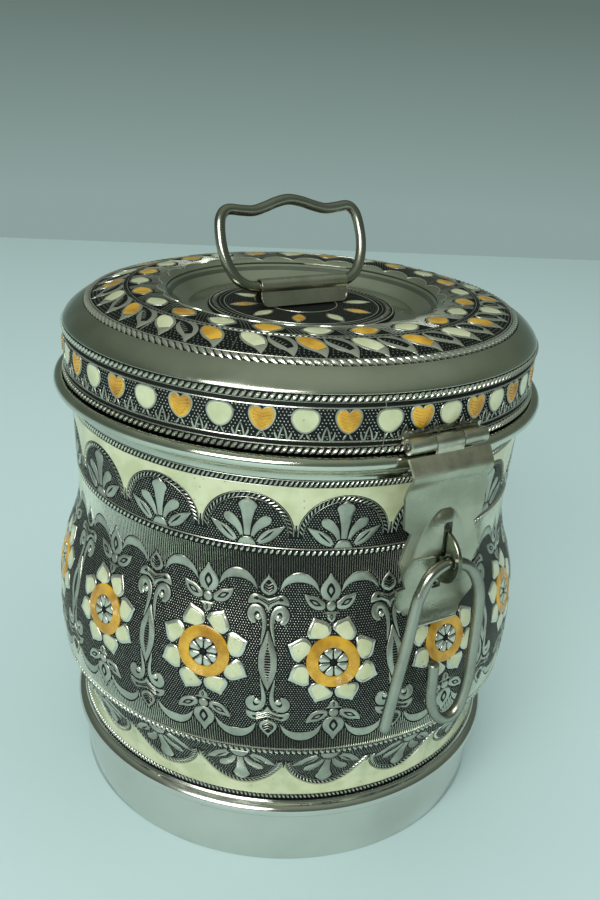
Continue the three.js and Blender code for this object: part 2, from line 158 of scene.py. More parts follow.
def tarnish_group():
    group, given, out = new_group("tarnish", {"Rise": 1.0, "Hollow": 0.5, "Clouds": 0.3, "Scale": 60.0},
                                  ("Mask", "Cloud"))
    place = node(group, "ShaderNodeTexCoord").outputs["Object"]
    cloud = noise(group, place, given.outputs["Scale"], 5.0, Roughness=0.6)
    grit = noise(group, place, 900.0, 3.0)
    spread = maths(group, "MULTIPLY", ramp(group, cloud, 0.35, 0.7), given.outputs["Clouds"])
    scatter = maths(group, "MULTIPLY", maths(group, "SUBTRACT", grit, 0.5), 0.5)
    edge = maths(group, "ADD", given.outputs["Hollow"], scatter)
    above = ramp(group, maths(group, "SUBTRACT", given.outputs["Rise"], edge), -0.12, 0.2)
    mask = maths(group, "MAXIMUM", maths(group, "SUBTRACT", 1.0, above), spread, clamp=True)
    group.links.new(mask, out.inputs["Mask"])
    group.links.new(cloud, out.inputs["Cloud"])
    return group


# %% The rub group


def rub_group():
    group, given, out = new_group("rub", {"Scale": 400.0, "Stretch": 20.0}, ("Height", "Mask"))
    place = node(group, "ShaderNodeTexCoord").outputs["Object"]
    apart = node(group, "ShaderNodeSeparateXYZ", {0: place})
    turn = maths(group, "ARCTAN2", apart.outputs[0], apart.outputs[1])
    around = maths(group, "MULTIPLY", turn, 0.1)
    drawn = maths(group, "MULTIPLY", apart.outputs[2], given.outputs["Stretch"])
    flat = node(group, "ShaderNodeCombineXYZ", {0: around, 1: drawn}).outputs[0]
    group.links.new(noise(group, flat, given.outputs["Scale"], 4.0), out.inputs["Height"])
    group.links.new(ramp(group, noise(group, place, 45.0, 3.0), 0.4, 0.65), out.inputs["Mask"])
    return group


# %% The mottle group


def mottle_group():
    group, given, out = new_group("mottle", {"Scale": 120.0, "Pits": 0.5}, ("Shade", "Pit", "Height"))
    place = node(group, "ShaderNodeTexCoord").outputs["Object"]
    specks = node(group, "ShaderNodeTexVoronoi", {"Vector": place, "Scale": 260.0, "Randomness": 1.0})
    pit = maths(group, "MULTIPLY", maths(group, "LESS_THAN", specks.outputs[0], 0.09),
                given.outputs["Pits"])
    group.links.new(noise(group, place, given.outputs["Scale"], 4.0), out.inputs["Shade"])
    group.links.new(pit, out.inputs["Pit"])
    group.links.new(noise(group, place, 320.0, 1.0), out.inputs["Height"])
    return group


tarnish, rub, mottle = tarnish_group(), rub_group(), mottle_group()
print("groups:", tarnish.name, rub.name, mottle.name)

# %% [markdown]
# ## Finishes
#
# Under the blackening the sheet is a white metal, and every finish on this container is that metal
# after some treatment. The relief reads a number called rise from its mesh: 0 down in the ground and 1
# on the polished tops. A painted map could do the same, but a number kept with the mesh follows the
# shape exactly. Enamel is glass over metal, so it is glossy, slightly wavy and has a few pits.
# The wire and the hinge finishes also paint shade into their colour, darker on the sides that turn away from
# the view.
# %% Colour and bump helpers


def srgb(red, green, blue):
    """A colour as read from a picture, 0 to 255, turned into the linear values that shaders use."""
    def linear(value):
        share = value / 255
        return share / 12.92 if share <= 0.04045 else ((share + 0.055) / 1.055) ** 2.4
    return (linear(red), linear(green), linear(blue), 1.0)


def new_material(name, **plain):
    material = bpy.data.materials.new(name)
    material.use_nodes = True
    tree = material.node_tree
    shader = tree.nodes["Principled BSDF"]
    for socket, value in plain.items():
        shader.inputs[socket.replace("_", " ")].default_value = value
    return material, tree, shader


def bump_from(tree, shader, height, depth, strength):
    made = node(tree, "ShaderNodeBump", {"Height": height, "Strength": strength, "Distance": depth})
    tree.links.new(made.outputs[0], shader.inputs["Normal"])


def use_group(tree, group, **values):
    made = tree.nodes.new("ShaderNodeGroup")
    made.node_tree = group
    for name, value in values.items():
        feed(tree, made.inputs[name], value)
    return made.outputs


def rise_of(tree):
    return node(tree, "ShaderNodeAttribute", attribute_name="rise").outputs["Fac"]


# %% The metals


# This black is the oxide in the hollows and the black of the enamel's pits. It is also the painted shade on
# the sides of wire and hinges that turn away from the view.
oxide_black_and_painted_shade, oxide_grey = srgb(16, 22, 19), srgb(96, 104, 92)


def relief_metal(name, light, dark, hollow=0.35, clouds=0.25, rough=0.32, scale=60.0, metal=0.88):
    """Stamped sheet: black in the hollows, cloudy grey on the shoulders, bright on the tops."""
    material, tree, shader = new_material(name)
    stain = use_group(tree, tarnish, Rise=rise_of(tree), Hollow=hollow, Clouds=clouds, Scale=scale)
    colour = blend_colours(tree, stain["Mask"], light, dark)
    tree.links.new(colour, shader.inputs["Base Color"])
    roughness = maths(tree, "ADD", maths(tree, "MULTIPLY", stain["Mask"], 0.25), rough)
    tree.links.new(roughness, shader.inputs["Roughness"])
    metallic = maths(tree, "SUBTRACT", metal, maths(tree, "MULTIPLY", stain["Mask"], 0.35))
    tree.links.new(metallic, shader.inputs["Metallic"])
    bump_from(tree, shader, stain["Cloud"], 0.22 * mm, 0.6)
    return material


def polished_metal(name, light, dark, rough=0.12, clouds=0.3, lines=0.5, scale=18.0, dents=0.0, painted_edge_shade=0.0):
    """Plain polished sheet or wire with cloth rubs and a breath of tarnish. A shade above zero paints shade
    into the colour: the sides that turn away from the view go darker, as on a round wire.
    """
    material, tree, shader = new_material(name, Metallic=1.0)
    stain = use_group(tree, tarnish, Rise=1.0, Hollow=0.0, Clouds=clouds, Scale=scale)
    marks = use_group(tree, rub)
    colour = blend_colours(tree, stain["Mask"], light, dark)
    # Painted shade: the colour darkens toward black where the surface turns away from the view, standing in
    # for the shading of a round wire.
    if painted_edge_shade:
        facing = node(tree, "ShaderNodeLayerWeight", {"Blend": 0.5}).outputs["Facing"]
        painted_edge_shade_mask = maths(tree, "MULTIPLY", ramp(tree, facing, 0.3, 0.95), painted_edge_shade)
        colour = blend_colours(tree, painted_edge_shade_mask, colour, oxide_black_and_painted_shade)
    tree.links.new(colour, shader.inputs["Base Color"])
    worn = maths(tree, "MULTIPLY", marks["Mask"], 0.12)
    soft = maths(tree, "ADD", maths(tree, "MULTIPLY", stain["Mask"], 0.1), rough)
    tree.links.new(maths(tree, "ADD", worn, soft), shader.inputs["Roughness"])
    dented = maths(tree, "MULTIPLY", stain["Cloud"], dents)
    height = maths(tree, "ADD", maths(tree, "MULTIPLY", marks["Height"], 0.02), dented)
    bump_from(tree, shader, height, mm, max(lines, dents))
    return material


metal_light, metal_mid = srgb(214, 216, 200), srgb(150, 156, 144)
ground_metal = relief_metal("blackened_ground", oxide_grey, oxide_black_and_painted_shade, hollow=1.2, clouds=0.5, rough=0.4)
relief_silver = relief_metal("relief_silver", srgb(184, 190, 174), oxide_black_and_painted_shade, hollow=0.42, clouds=0.5,
                             rough=0.25)
pearl_silver = relief_metal("pearl_silver", srgb(222, 228, 212), oxide_black_and_painted_shade, hollow=0.42, clouds=0.15,
                            rough=0.22)
pearl_dim = relief_metal("pearl_dim", srgb(150, 158, 142), oxide_black_and_painted_shade, hollow=0.35, clouds=0.3, rough=0.3)
rope_silver = relief_metal("rope_silver", srgb(212, 216, 200), oxide_black_and_painted_shade, hollow=0.4, clouds=0.2,
                           rough=0.2)
polished_sheet = polished_metal("polished_sheet", metal_light, oxide_grey, rough=0.11, lines=0.1)
foot_sheet = polished_metal("foot_sheet", srgb(216, 217, 209), srgb(150, 154, 148), rough=0.1, lines=0.06)
# The wire's finish paints shade at 0.85 on the sides that turn away from the view.
wire_metal = polished_metal("wire_metal", srgb(168, 170, 156), srgb(96, 100, 88), rough=0.2, clouds=0.3,
                            scale=70.0, dents=0.3, painted_edge_shade=0.85)
inside_metal = polished_metal("inside_sheet", metal_mid, oxide_grey, rough=0.3, clouds=0.5)
print("metals ready")

# %% The enamels


def enamel(name, light, deep, rough=0.14, pits=0.4, wave=0.06):
    material, tree, shader = new_material(name, Coat_Roughness=0.06, IOR=1.5)
    uneven = use_group(tree, mottle, Pits=pits)
    body = blend_colours(tree, ramp(tree, uneven["Shade"], 0.3, 0.72), light, deep)
    low = ramp(tree, rise_of(tree), 0.9, 0.35)
    body = blend_colours(tree, maths(tree, "MULTIPLY", low, 0.8), body, deep)
    tree.links.new(blend_colours(tree, uneven["Pit"], body, oxide_black_and_painted_shade), shader.inputs["Base Color"])
    roughness = maths(tree, "ADD", maths(tree, "MULTIPLY", uneven["Shade"], 0.12), rough)
    tree.links.new(roughness, shader.inputs["Roughness"])
    shader.inputs["Coat Weight"].default_value = 0.4
    bump_from(tree, shader, uneven["Height"], wave * mm, 0.6)
    return material


cream_enamel = enamel("cream_enamel", srgb(200, 205, 168), srgb(178, 186, 144))
orange_enamel = enamel("orange_enamel", srgb(212, 168, 50), srgb(156, 112, 18), pits=0.1, wave=0.14)
print("enamels ready")

# %% [markdown]
# ## The outline of the sheet
#
# A stamped wall is one curve turned about the axis. Blender can spin a curve, but here every leaf and
# pearl must sit on that same curve, so a small class keeps it: given a position it says where the sheet
# is, which way it faces and how wide the ring is there. Heights are counted outward from the blackened
# ground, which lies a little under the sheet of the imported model, so that the tops come out flush.
# %% The turned surface
relief_depth = 0.8
body_low, body_height = 31.4, 138.9
waist_radius, belly_swell = 91.9, 9.1
body_shares = [
    (0.0, -0.055), (0.018, -0.055), (0.048, -0.033), (0.076, 0.033), (0.105, 0.154), (0.134, 0.34),
    (0.163, 0.55), (0.192, 0.736), (0.230, 0.88), (0.285, 0.965), (0.350, 1.0), (0.422, 0.978),
    (0.480, 0.89), (0.537, 0.692), (0.588, 0.44), (0.638, 0.187), (0.688, 0.033), (0.739, 0.0),
    (0.796, 0.033), (0.868, 0.088), (0.940, 0.132), (1.0, 0.143)]


def smooth_line(points, steps=12):
    """Catmull-Rom curve through the points."""
    known = np.array(points, float)
    known = np.vstack([2 * known[0] - known[1], known, 2 * known[-1] - known[-2]])
    share = np.linspace(0, 1, steps, endpoint=False)[:, None]
    out = []
    for a, b, c, d in zip(known, known[1:], known[2:], known[3:]):
        out.append(0.5 * (2 * b + (c - a) * share + (2 * a - 5 * b + 4 * c - d) * share**2
                          + (3 * b - a - 3 * c + d) * share**3))
    return np.vstack(out + [known[-2:-1]])


class Turned:
    """A surface turned about Z: places are (angle, v), where v is the height, or the radius on a lid."""

    def __init__(self, points, by_radius=False, sink=relief_depth):
        curve = np.array(points, float)
        self.by_radius = by_radius
        self.key = curve[:, 0] if by_radius else curve[:, 1]
        order = np.argsort(self.key)
        self.key, curve = self.key[order], curve[order]
        step = np.gradient(curve, axis=0)
        facing = np.column_stack([step[:, 1], -step[:, 0]]) * (-1 if by_radius else 1)
        self.facing = facing / np.linalg.norm(facing, axis=1)[:, None]
        self.curve = curve
        self.sink = sink

    def at(self, v):
        return [np.interp(v, self.key, column) for column in (*self.curve.T, *self.facing.T)]

    def radius(self, v):
        return self.at(v)[0]

    def points(self, placed):
        """Metres for rows of angle, v and height above the ground."""
        angle, v, height = placed.T
        radius, z, out, up = self.at(v)
        lift = height - self.sink
        ring = radius + lift * out
        return np.column_stack([ring * np.sin(angle), -ring * np.cos(angle), z + lift * up]) * mm


body_curve = smooth_line([(waist_radius + swell * belly_swell, body_low + share * body_height)
                          for share, swell in body_shares])
body_surface = Turned(body_curve)
print("belly radius:", round(float(body_curve[:, 0].max()), 2))

# %% [markdown]
# ## The relief kit
#
# The ornament repeats: 13 flowers, 17 arches above them and 18 below. So each motif is drawn once in
# millimetres on the unrolled sheet, copied round, and then bent onto the turned surface. Blender's
# bevelled curves could make the raised shapes, but two small builders give cleaner faces: a blade is a
# strip that swells along a spine, for leaves, lines and rope strands, and a boss is a filled outline
# with sloping sides, for petals and enamel. Each keeps its footprint, so that no pearl grows under it.
# %% Meshes from arrays
def add_mesh(name, points, faces, face_slots, materials, rise=None, smooth_angle=40):
    """An object in metres from arrays of points, triangles and quads."""
    mesh = bpy.data.meshes.new(name)
    sizes = np.concatenate([np.full(len(block), block.shape[1]) for block in faces])
    corners = np.concatenate([block.ravel() for block in faces])
    mesh.vertices.add(len(points))
    mesh.vertices.foreach_set("co", np.ascontiguousarray(points, dtype=np.float32).ravel())
    mesh.loops.add(len(corners))
    mesh.loops.foreach_set("vertex_index", corners.astype(np.int32))
    mesh.polygons.add(len(sizes))
    mesh.polygons.foreach_set("loop_start", (np.cumsum(sizes) - sizes).astype(np.int32))
    mesh.polygons.foreach_set("material_index", np.concatenate(face_slots).astype(np.int32))
    mesh.update(calc_edges=True)
    for material in materials:
        mesh.materials.append(material)
    if rise is not None:
        mesh.attributes.new("rise", "FLOAT", "POINT").data.foreach_set("value", rise.astype(np.float32))
    mesh.shade_smooth()
    if smooth_angle:
        mesh.set_sharp_from_angle(angle=math.radians(smooth_angle))
    made = bpy.data.objects.new(name, mesh)
    collection.objects.link(made)
    return made


def inside(outline, x, y):
    """Which of the points lie inside a closed outline."""
    x1, y1 = outline.T
    x2, y2 = np.roll(outline, -1, axis=0).T
    crossing = (y1[:, None] > y) != (y2[:, None] > y)
    with np.errstate(divide="ignore", invalid="ignore"):
        meet = x1[:, None] + (y[None, :] - y1[:, None]) * ((x2 - x1) / (y2 - y1))[:, None]
    return ((crossing & (x[None, :] < meet)).sum(axis=0) % 2).astype(bool)


# %% Drawing on the unrolled sheet


def bend(points, steps=5):
    return smooth_line(points, steps)


def moved(points, x=0.0, y=0.0, turn=0.0, tip=1):
    """Turned upside down by a tip of -1, turned by degrees anticlockwise, then moved."""
    c, s = math.cos(math.radians(turn)), math.sin(math.radians(turn))
    px, py = (np.array(points, float) * [1, tip]).T
    return np.column_stack([px * c - py * s + x, px * s + py * c + y])


def oval(across, tall, count):
    turn = np.linspace(0, 2 * np.pi, count, endpoint=False)
    return np.column_stack([across * np.cos(turn), tall * np.sin(turn)])


def mirrored(points):
    """A closed outline from its right half, which starts and ends on the middle line."""
    points = np.array(points, float)
    return np.vstack([points, points[::-1][1:-1] * [-1, 1]])


def rounded(points, steps=3):
    """A closed outline with its corners rounded."""
    return bend(np.vstack([points, points[:1]]), steps)[:-1]


def sideways(line, closed=False):
    """Unit steps to the right of a line, taken from the neighbours of each point."""
    if closed:
        ahead = np.roll(line, -1, axis=0) - np.roll(line, 1, axis=0)
    else:
        ahead = np.gradient(line, axis=0)
    side = np.column_stack([ahead[:, 1], -ahead[:, 0]])
    return side / np.maximum(np.linalg.norm(side, axis=1), 1e-9)[:, None]


def swelling(shares, count):
    """Half widths along a blade, from (share of its length, width) pairs."""
    known = smooth_line(shares, 6)
    return np.interp(np.linspace(0, 1, count), known[:, 0], np.maximum(known[:, 1], 0.02))


blade_section = ((-1, 0), (-0.88, 0.62), (-0.5, 0.94), (0, 1.0), (0.5, 0.94), (0.88, 0.62), (1, 0))
line_section = ((-1, 0), (-0.6, 0.8), (0, 1.0), (0.6, 0.8), (1, 0))
fine_section = ((-1, 0), (0, 1), (1, 0))
flat_section = ((-1, 0), (-0.95, 0.75), (-0.8, 1.0), (0, 1.05), (0.8, 1.0), (0.95, 0.75), (1, 0))
ring_section = ((-1, 0), (-0.93, 0.75), (-0.6, 1.0), (0, 1.0), (0.6, 1.0), (0.93, 0.75), (1, 0))
full_rise = 0.5


def ring_quads(number):
    """Quads between each ring of points and the next, where every ring closes on itself."""
    low, high = number[:-1], number[1:]
    corners = (low, np.roll(low, -1, axis=1), np.roll(high, -1, axis=1), high)
    return np.stack(corners, axis=-1).reshape(-1, 4)


def torus_quads(number):
    """Quads of a grid of points that closes on itself both ways."""
    ahead, beside = np.roll(number, -1, axis=0), np.roll(number, -1, axis=1)
    return np.stack([number, ahead, np.roll(ahead, -1, axis=1), beside], axis=-1).reshape(-1, 4)


class Relief:
    """Motifs for one sector of a turned surface, copied all the way round."""

    def __init__(self, surface, copies, reference, first=0.0, wide_by_radius=False):
        self.surface, self.copies, self.reference = surface, copies, reference
        self.first = math.radians(first)
        self.sector = 2 * np.pi / copies
        self.wide_by_radius = wide_by_radius
        self.turn = 0.0
        self.parts, self.prints, self.count = [], [], 0

    def place(self, points):
        """Millimetres on the unrolled sheet to (angle, v), turned to where the motif stands."""
        x, y = np.asarray(points, float).T
        v = self.reference - y if self.wide_by_radius else y
        return np.column_stack([x / (v if self.wide_by_radius else self.reference) + self.turn, v])

    def keep(self, points, height, faces, slot, placed=False):
        placed = np.column_stack([points if placed else self.place(points), height])
        self.parts.append((placed, [block + self.count for block in faces], slot))
        self.count += len(placed)

    def strip(self, rows, height, slot, closed=False, placed=False):
        """Quads between rows of equal length: rows is (along, across, 2) and height is (along, across)."""
        along, across = rows.shape[:2]
        number = np.arange(along * across).reshape(along, across)
        ahead = np.roll(number, -1, axis=0) if closed else number[1:]
        here = number if closed else number[:-1]
        quads = np.stack([here[:, :-1], here[:, 1:], ahead[:, 1:], ahead[:, :-1]], axis=-1).reshape(-1, 4)
        self.keep(rows.reshape(-1, 2), height.reshape(-1), [quads], slot, placed)

    def hoop(self, v, half, height, slot, steps=None):
        """A raised line right round the belt, where v is a number or a function of the angle."""
        turn = np.linspace(-self.sector / 2, self.sector / 2, (steps or math.ceil(38 * self.sector)) + 1)
        middle = v(turn) if callable(v) else np.full(len(turn), v)
        shares, tall = np.array(line_section).T
        across = middle[:, None] + half * shares[None, :] * (1 if self.wide_by_radius else -1)
        rows = np.stack([np.repeat(turn[:, None], len(shares), axis=1), across], axis=-1)
        self.strip(rows, np.tile(height * tall, (len(turn), 1)), slot, placed=True)

    def blade(self, spine, widths, height, slot, base=0.0, closed=False, section=blade_section, trace=True,
              gap=0.25):
        """A raised strip along a spine, as wide to each side as widths say."""
        spine = np.asarray(spine, float)
        widths = np.full(len(spine), widths) if np.isscalar(widths) else np.asarray(widths)
        side = sideways(spine, closed)
        shares, tall = np.array(section).T
        rows = spine[:, None, :] - side[:, None, :] * (widths[:, None] * -shares[None, :])[:, :, None]
        narrow = np.minimum(1.0, widths / max(widths.max() * 0.45, 1e-6))
        lift = base + height * tall[None, :] * (0.45 + 0.55 * narrow[:, None])
        self.strip(rows, lift, slot, closed)
        if trace:
            reach = side * (widths + gap)[:, None]
            if closed:
                self.prints.append(("ring", self.place(spine + reach), self.place(spine - reach)))
            else:
                self.prints.append(("fill", self.place(np.vstack([spine + reach, (spine - reach)[::-1]]))))

    def boss(self, outline, height, slot, slope=0.28, crown=0.12, base=0.0, trace=True, gap=0.25):
        """A raised filled shape. The outline runs anticlockwise round a middle that sees all of it."""
        outline = np.asarray(outline, float)
        x, y = outline.T
        if np.sum(x * np.roll(y, -1) - y * np.roll(x, -1)) < 0:
            outline = outline[::-1]
        out = sideways(outline, closed=True)
        middle, top = outline.mean(axis=0), outline - out * slope
        rings = [outline, outline - out * slope * 0.35, top, middle + (top - middle) * 0.55]
        heights = [base, base + height * 0.7, base + height, base + height + crown * 0.75]
        count = len(outline)
        points = np.vstack(rings + [middle[None, :]])
        lift = np.concatenate([np.full(count, value) for value in heights] + [[base + height + crown]])
        number = np.arange(4 * count).reshape(4, count)
        quads = ring_quads(number)
        fan = np.column_stack([number[3], np.roll(number[3], -1), np.full(count, 4 * count)])
        self.keep(points, lift, [quads, fan], slot)
        if trace:
            self.prints.append(("fill", self.place(outline + out * gap)))

    def avoid(self, outline):
        self.prints.append(("fill", self.place(outline)))

    def covered(self, angle, v):
        hit = np.zeros(len(angle), bool)
        for kind, *edges in self.prints:
            if kind == "fill":
                hit |= inside(edges[0], angle, v)
            else:
                hit |= inside(edges[0], angle, v) ^ inside(edges[1], angle, v)
        return hit

    def covered_nearby(self, angle, v):
        """Covered by this sector's motifs, or by those of the sectors beside it."""
        hit = self.covered(angle, v)
        return hit | self.covered(angle - self.sector, v) | self.covered(angle + self.sector, v)

    def pearls(self, low, high, slot, pitch=1.0, size=0.34, height=0.42, sides=6, keep=None):
        """Rows of tiny domes, each row set half a step from the last, wherever no motif stands."""
        rows = max(int((high - low) / (pitch * 0.866)), 1)
        heights = low + (np.arange(rows) + 0.5) * (high - low) / rows
        found = []
        for row, v in enumerate(heights):
            radius = v if self.wide_by_radius else float(self.surface.radius(v))
            count = max(int(round(self.sector * radius / pitch)), 1)
            angle = ((np.arange(count) + 0.5 * (row % 2)) / count - 0.5) * self.sector
            found.append(np.column_stack([angle, np.full(count, v), np.full(count, radius)]))
        angle, v, radius = np.vstack(found).T
        wanted = ~self.covered_nearby(angle, v)
        if keep is not None:
            wanted &= keep(angle * self.reference, v)
        angle, v, radius = angle[wanted], v[wanted], radius[wanted]
        turn = np.arange(sides) / sides * 2 * np.pi
        across = angle[:, None] + size * np.cos(turn)[None, :] / radius[:, None]
        along = v[:, None] + size * np.sin(turn)[None, :] * (-1 if self.wide_by_radius else 1)
        foot = np.stack([across, along, np.zeros_like(across)], axis=-1)
        top = np.stack([angle, v, np.full_like(angle, height)], axis=-1)[:, None, :]
        domes = np.concatenate([foot, top], axis=1)
        first = np.arange(len(angle))[:, None, None] * (sides + 1) + self.count
        step = np.arange(sides)
        sides_of_dome = np.stack([step, (step + 1) % sides, np.full(sides, sides)], axis=-1)
        self.parts.append((domes.reshape(-1, 3), [(first + sides_of_dome[None]).reshape(-1, 3)], slot))
        self.count += domes.shape[0] * domes.shape[1]
        return len(angle)

    def build(self, name, materials, skew=0.0, skew_from=0.0, smooth_angle=40):
        """Copies the sector round, bends it onto the surface and makes the object."""
        placed = np.vstack([part[0] for part in self.parts])
        rise = np.clip(placed[:, 2] / full_rise, 0, 1)
        placed[:, 0] += self.first + np.radians(skew) * (placed[:, 1] - skew_from)
        copies = [placed + [copy * self.sector, 0, 0] for copy in range(self.copies)]
        points = self.surface.points(np.vstack(copies))
        faces, face_slots = [], []
        for corners in (4, 3):
            found = [(block, slot) for _, blocks, slot in self.parts for block in blocks
                     if block.shape[1] == corners]
            if found:
                block = np.vstack([block for block, _ in found])
                marks = np.concatenate([np.full(len(block), slot) for block, slot in found])
                faces.append(np.vstack([block + copy * self.count for copy in range(self.copies)]))
                face_slots.append(np.tile(marks, self.copies))
        made = add_mesh(name, points, faces, face_slots, materials, np.tile(rise, self.copies),
                        smooth_angle)
        print(name, "faces:", sum(len(block) for block in faces))
        return made


SILVER, CREAM, ORANGE, DARK, BRIGHT, POLISHED = range(6)
relief_materials = [relief_silver, cream_enamel, orange_enamel, ground_metal, rope_silver, polished_sheet]

# %% [markdown]
# ## Pieces that are simply turned
#
# The foot, the rolled rim and the lid were spun on a lathe, so they are one outline turned about the
# axis. Blender's Screw modifier would do it, but arrays of points keep every edge where the packed
# model has it. Short stretches between neighbours are rounded by the smooth line through them.
# %% The turning helper


def turned_piece(name, outer, inner, material, lining=None, segments=144, smooth_angle=50):
    """Revolves an outer and an inner outline of (radius, height) in millimetres, which close each other."""
    profile = np.array(list(outer) + list(inner), float)
    within = np.arange(len(profile)) >= len(outer)
    x, y = profile.T
    if np.sum(x * np.roll(y, -1) - y * np.roll(x, -1)) < 0:
        profile, within = profile[::-1], within[::-1]
    turn = (np.arange(segments) / segments * 2 * np.pi)[:, None]
    radius, height = profile.T
    level = np.broadcast_to(height, (segments, len(profile)))
    points = np.stack([radius * np.sin(turn), -radius * np.cos(turn), level], axis=-1).reshape(-1, 3)
    quads = torus_quads(np.arange(segments * len(profile)).reshape(segments, len(profile)))
    slots = np.tile(within & np.roll(within, -1), segments).astype(int)
    materials = [material, lining or material]
    made = add_mesh(name, points * mm, [quads], [slots], materials, np.ones(len(points)), smooth_angle)
    if profile[:, 0].min() == 0:
        weld(made)
    return made


def weld(piece, distance=1e-7):
    """Joins the points that meet on the axis, so that no empty faces are left there."""
    work = bmesh.new()
    work.from_mesh(piece.data)
    bmesh.ops.remove_doubles(work, verts=work.verts, dist=distance)
    work.to_mesh(piece.data)
    work.free()


def dress(piece, body, slot, *nodes):
    """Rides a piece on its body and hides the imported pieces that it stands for."""
    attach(piece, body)
    if nodes:
        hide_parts(*nodes)
    return piece


# %% [markdown]
# ## The stamped wall
#
# The sheet itself comes first, blackened outside and plain inside. On it lie three belts of ornament,
# and between them run ropes and bright lines that hide the edge of each die.
# %% The bare sheet
wall_steps = np.linspace(body_low, body_low + body_height, 90)
wall_outer = [(body_surface.radius(z) - relief_depth, z) for z in wall_steps]
wall_inner = [(body_surface.radius(z) - relief_depth - 0.5, z) for z in wall_steps[::-1]]
body_wall = turned_piece("body_wall", wall_outer, wall_inner, ground_metal, inside_metal)
dress(body_wall, "container", "oxidised", "body_shell")

# %% [markdown]
# A rope is a row of short slanting strands. Twisting a real strand round the wall would cost far more
# faces for the same look, so each strand is one blade, laid at a slant and fatter in its middle.
# %% Ropes and lines


def rope(relief, low, high, pitch, slant, slot, fat=0.34, height=0.7):
    """Slanting strands side by side, each drawn at its own turn."""
    by_radius = relief.wide_by_radius
    ends = (relief.reference - low, relief.reference - high) if by_radius else (low, high)
    radius = (low + high) / 2 if by_radius else relief.reference
    count = max(round(relief.sector * radius / pitch), 1)
    spine = np.linspace((-slant / 2, ends[0]), (slant / 2, ends[1]), 5)
    widths = swelling([(0, 0.12), (0.5, fat * pitch), (1, 0.12)], 5)
    for number in range(count):
        relief.turn = ((number + 0.5) / count - 0.5) * relief.sector
        relief.blade(spine, widths, height, slot, section=line_section, trace=False)
    relief.turn = 0.0


# %% [markdown]
# ## The palmettes under their arches
#
# Below the cream band stand arches edged with a small rope, and in each one a palmette: a spade leaf
# between two round petals and two pointed ones with a slit. The same drawing, turned upside down,
# fills the arches above the foot, so the function takes its base line and a sign for its direction.
# %% Drawing a palmette
arch_depth = 16.3


def palmette(relief, base, up, tall=1.0):
    def leaf(spine, widths, height=0.5, slot=SILVER, lift=0.0, trace=True):
        vein = bend(spine, 4) * [1, tall * up] + [0, base]
        relief.blade(vein, swelling(widths, len(vein)), height, slot, base=lift, trace=trace)

    leaf([(0, 3.9), (0, 8.0), (0, 13.5), (0, 16.3), (0, 18.7)],
         [(0, 1.15), (0.25, 1.5), (0.5, 2.7), (0.66, 3.6), (0.8, 2.9), (0.92, 1.1), (1, 0.1)], height=0.55)
    relief.boss(moved(oval(3.3, 3.4, 18)[:10], y=base, tip=up), 0.5, SILVER)
    for side in (-1, 1):
        leaf([(side * 1.9, 3.7), (side * 3.3, 6.9), (side * 5.5, 9.3), (side * 8.3, 11.3)],
             [(0, 0.6), (0.4, 1.55), (0.75, 2.1), (0.92, 1.6), (1, 0.5)])
        leaf([(side * 4.2, 1.4), (side * 6.9, 3.6), (side * 9.9, 5.9), (side * 13.4, 8.4)],
             [(0, 1.0), (0.3, 2.2), (0.6, 1.9), (0.85, 0.9), (1, 0.1)])
        leaf([(side * 5.0, 2.3), (side * 7.2, 4.3), (side * 9.3, 6.5)], [(0, 0.12), (0.6, 0.42), (1, 0.12)],
             height=0.05, slot=DARK, lift=0.5, trace=False)


def arch_curve(half, depth, count=41):
    turn = np.linspace(0, np.pi, count)
    return np.column_stack([-half * np.cos(turn), depth * np.sin(turn)])


def arched_belt(relief, cusp, up, edge, cream_height=0.45):
    """The cream field between the arches and the edge rope, with the rope that follows each arch."""
    half = relief.sector * relief.reference / 2
    x = np.linspace(-half, half, 61)
    arch = cusp + up * arch_depth * np.sqrt(np.clip(1 - (x / (half - 0.3)) ** 2, 0, 1))
    shares = np.array([1.0, 0.985, 0.7, 0.35, 0.03, 0.0])
    if up < 0:
        shares = shares[::-1]
    across = np.repeat(x[:, None], len(shares), axis=1)
    rows = np.stack([across, arch[:, None] + (edge - arch[:, None]) * shares], axis=-1)
    relief.strip(rows, np.tile(cream_height * np.array([0, 1, 1, 1, 1, 0]), (len(x), 1)), CREAM)
    for inset, width, height, slot in ((0.35, 0.2, 0.3, SILVER), (2.35, 0.16, 0.3, SILVER)):
        curve = arch_curve(half - 0.3 - inset, arch_depth - inset) * [1, up] + [0, cusp]
        relief.blade(curve, width, height, slot, section=line_section, trace=False)
    middle = arch_curve(half - 1.65, arch_depth - 1.35, 29) * [1, up] + [0, cusp]
    ahead = np.gradient(middle, axis=0)
    ahead /= np.linalg.norm(ahead, axis=1)[:, None]
    strand = swelling([(0, 0.12), (0.5, 0.42), (1, 0.12)], 4)
    for here, along, across in list(zip(middle, ahead, -sideways(middle) * up))[1:-1]:
        reach = along * 0.75 + across * 0.72
        relief.blade(np.linspace(here - reach, here + reach, 4), strand, 0.55, BRIGHT, section=line_section,
                     trace=False)
    for shift, slot, width in ((-0.8, SILVER, 0.16), (0.8, SILVER, 0.16), (0, DARK, 0.3)):
        foot = np.array([(half + shift, cusp), (half + shift, cusp + up * 4.6)])
        relief.blade(np.linspace(*foot, 3), width, 0.1, slot, base=cream_height, section=line_section,
                     trace=False)

    def open_ground(px, v):
        within = (px / (half - 2.9)) ** 2 + ((v - cusp) / (arch_depth - 2.9)) ** 2 < 1
        return within | ((v - cusp) * up < -0.6)
    return open_ground


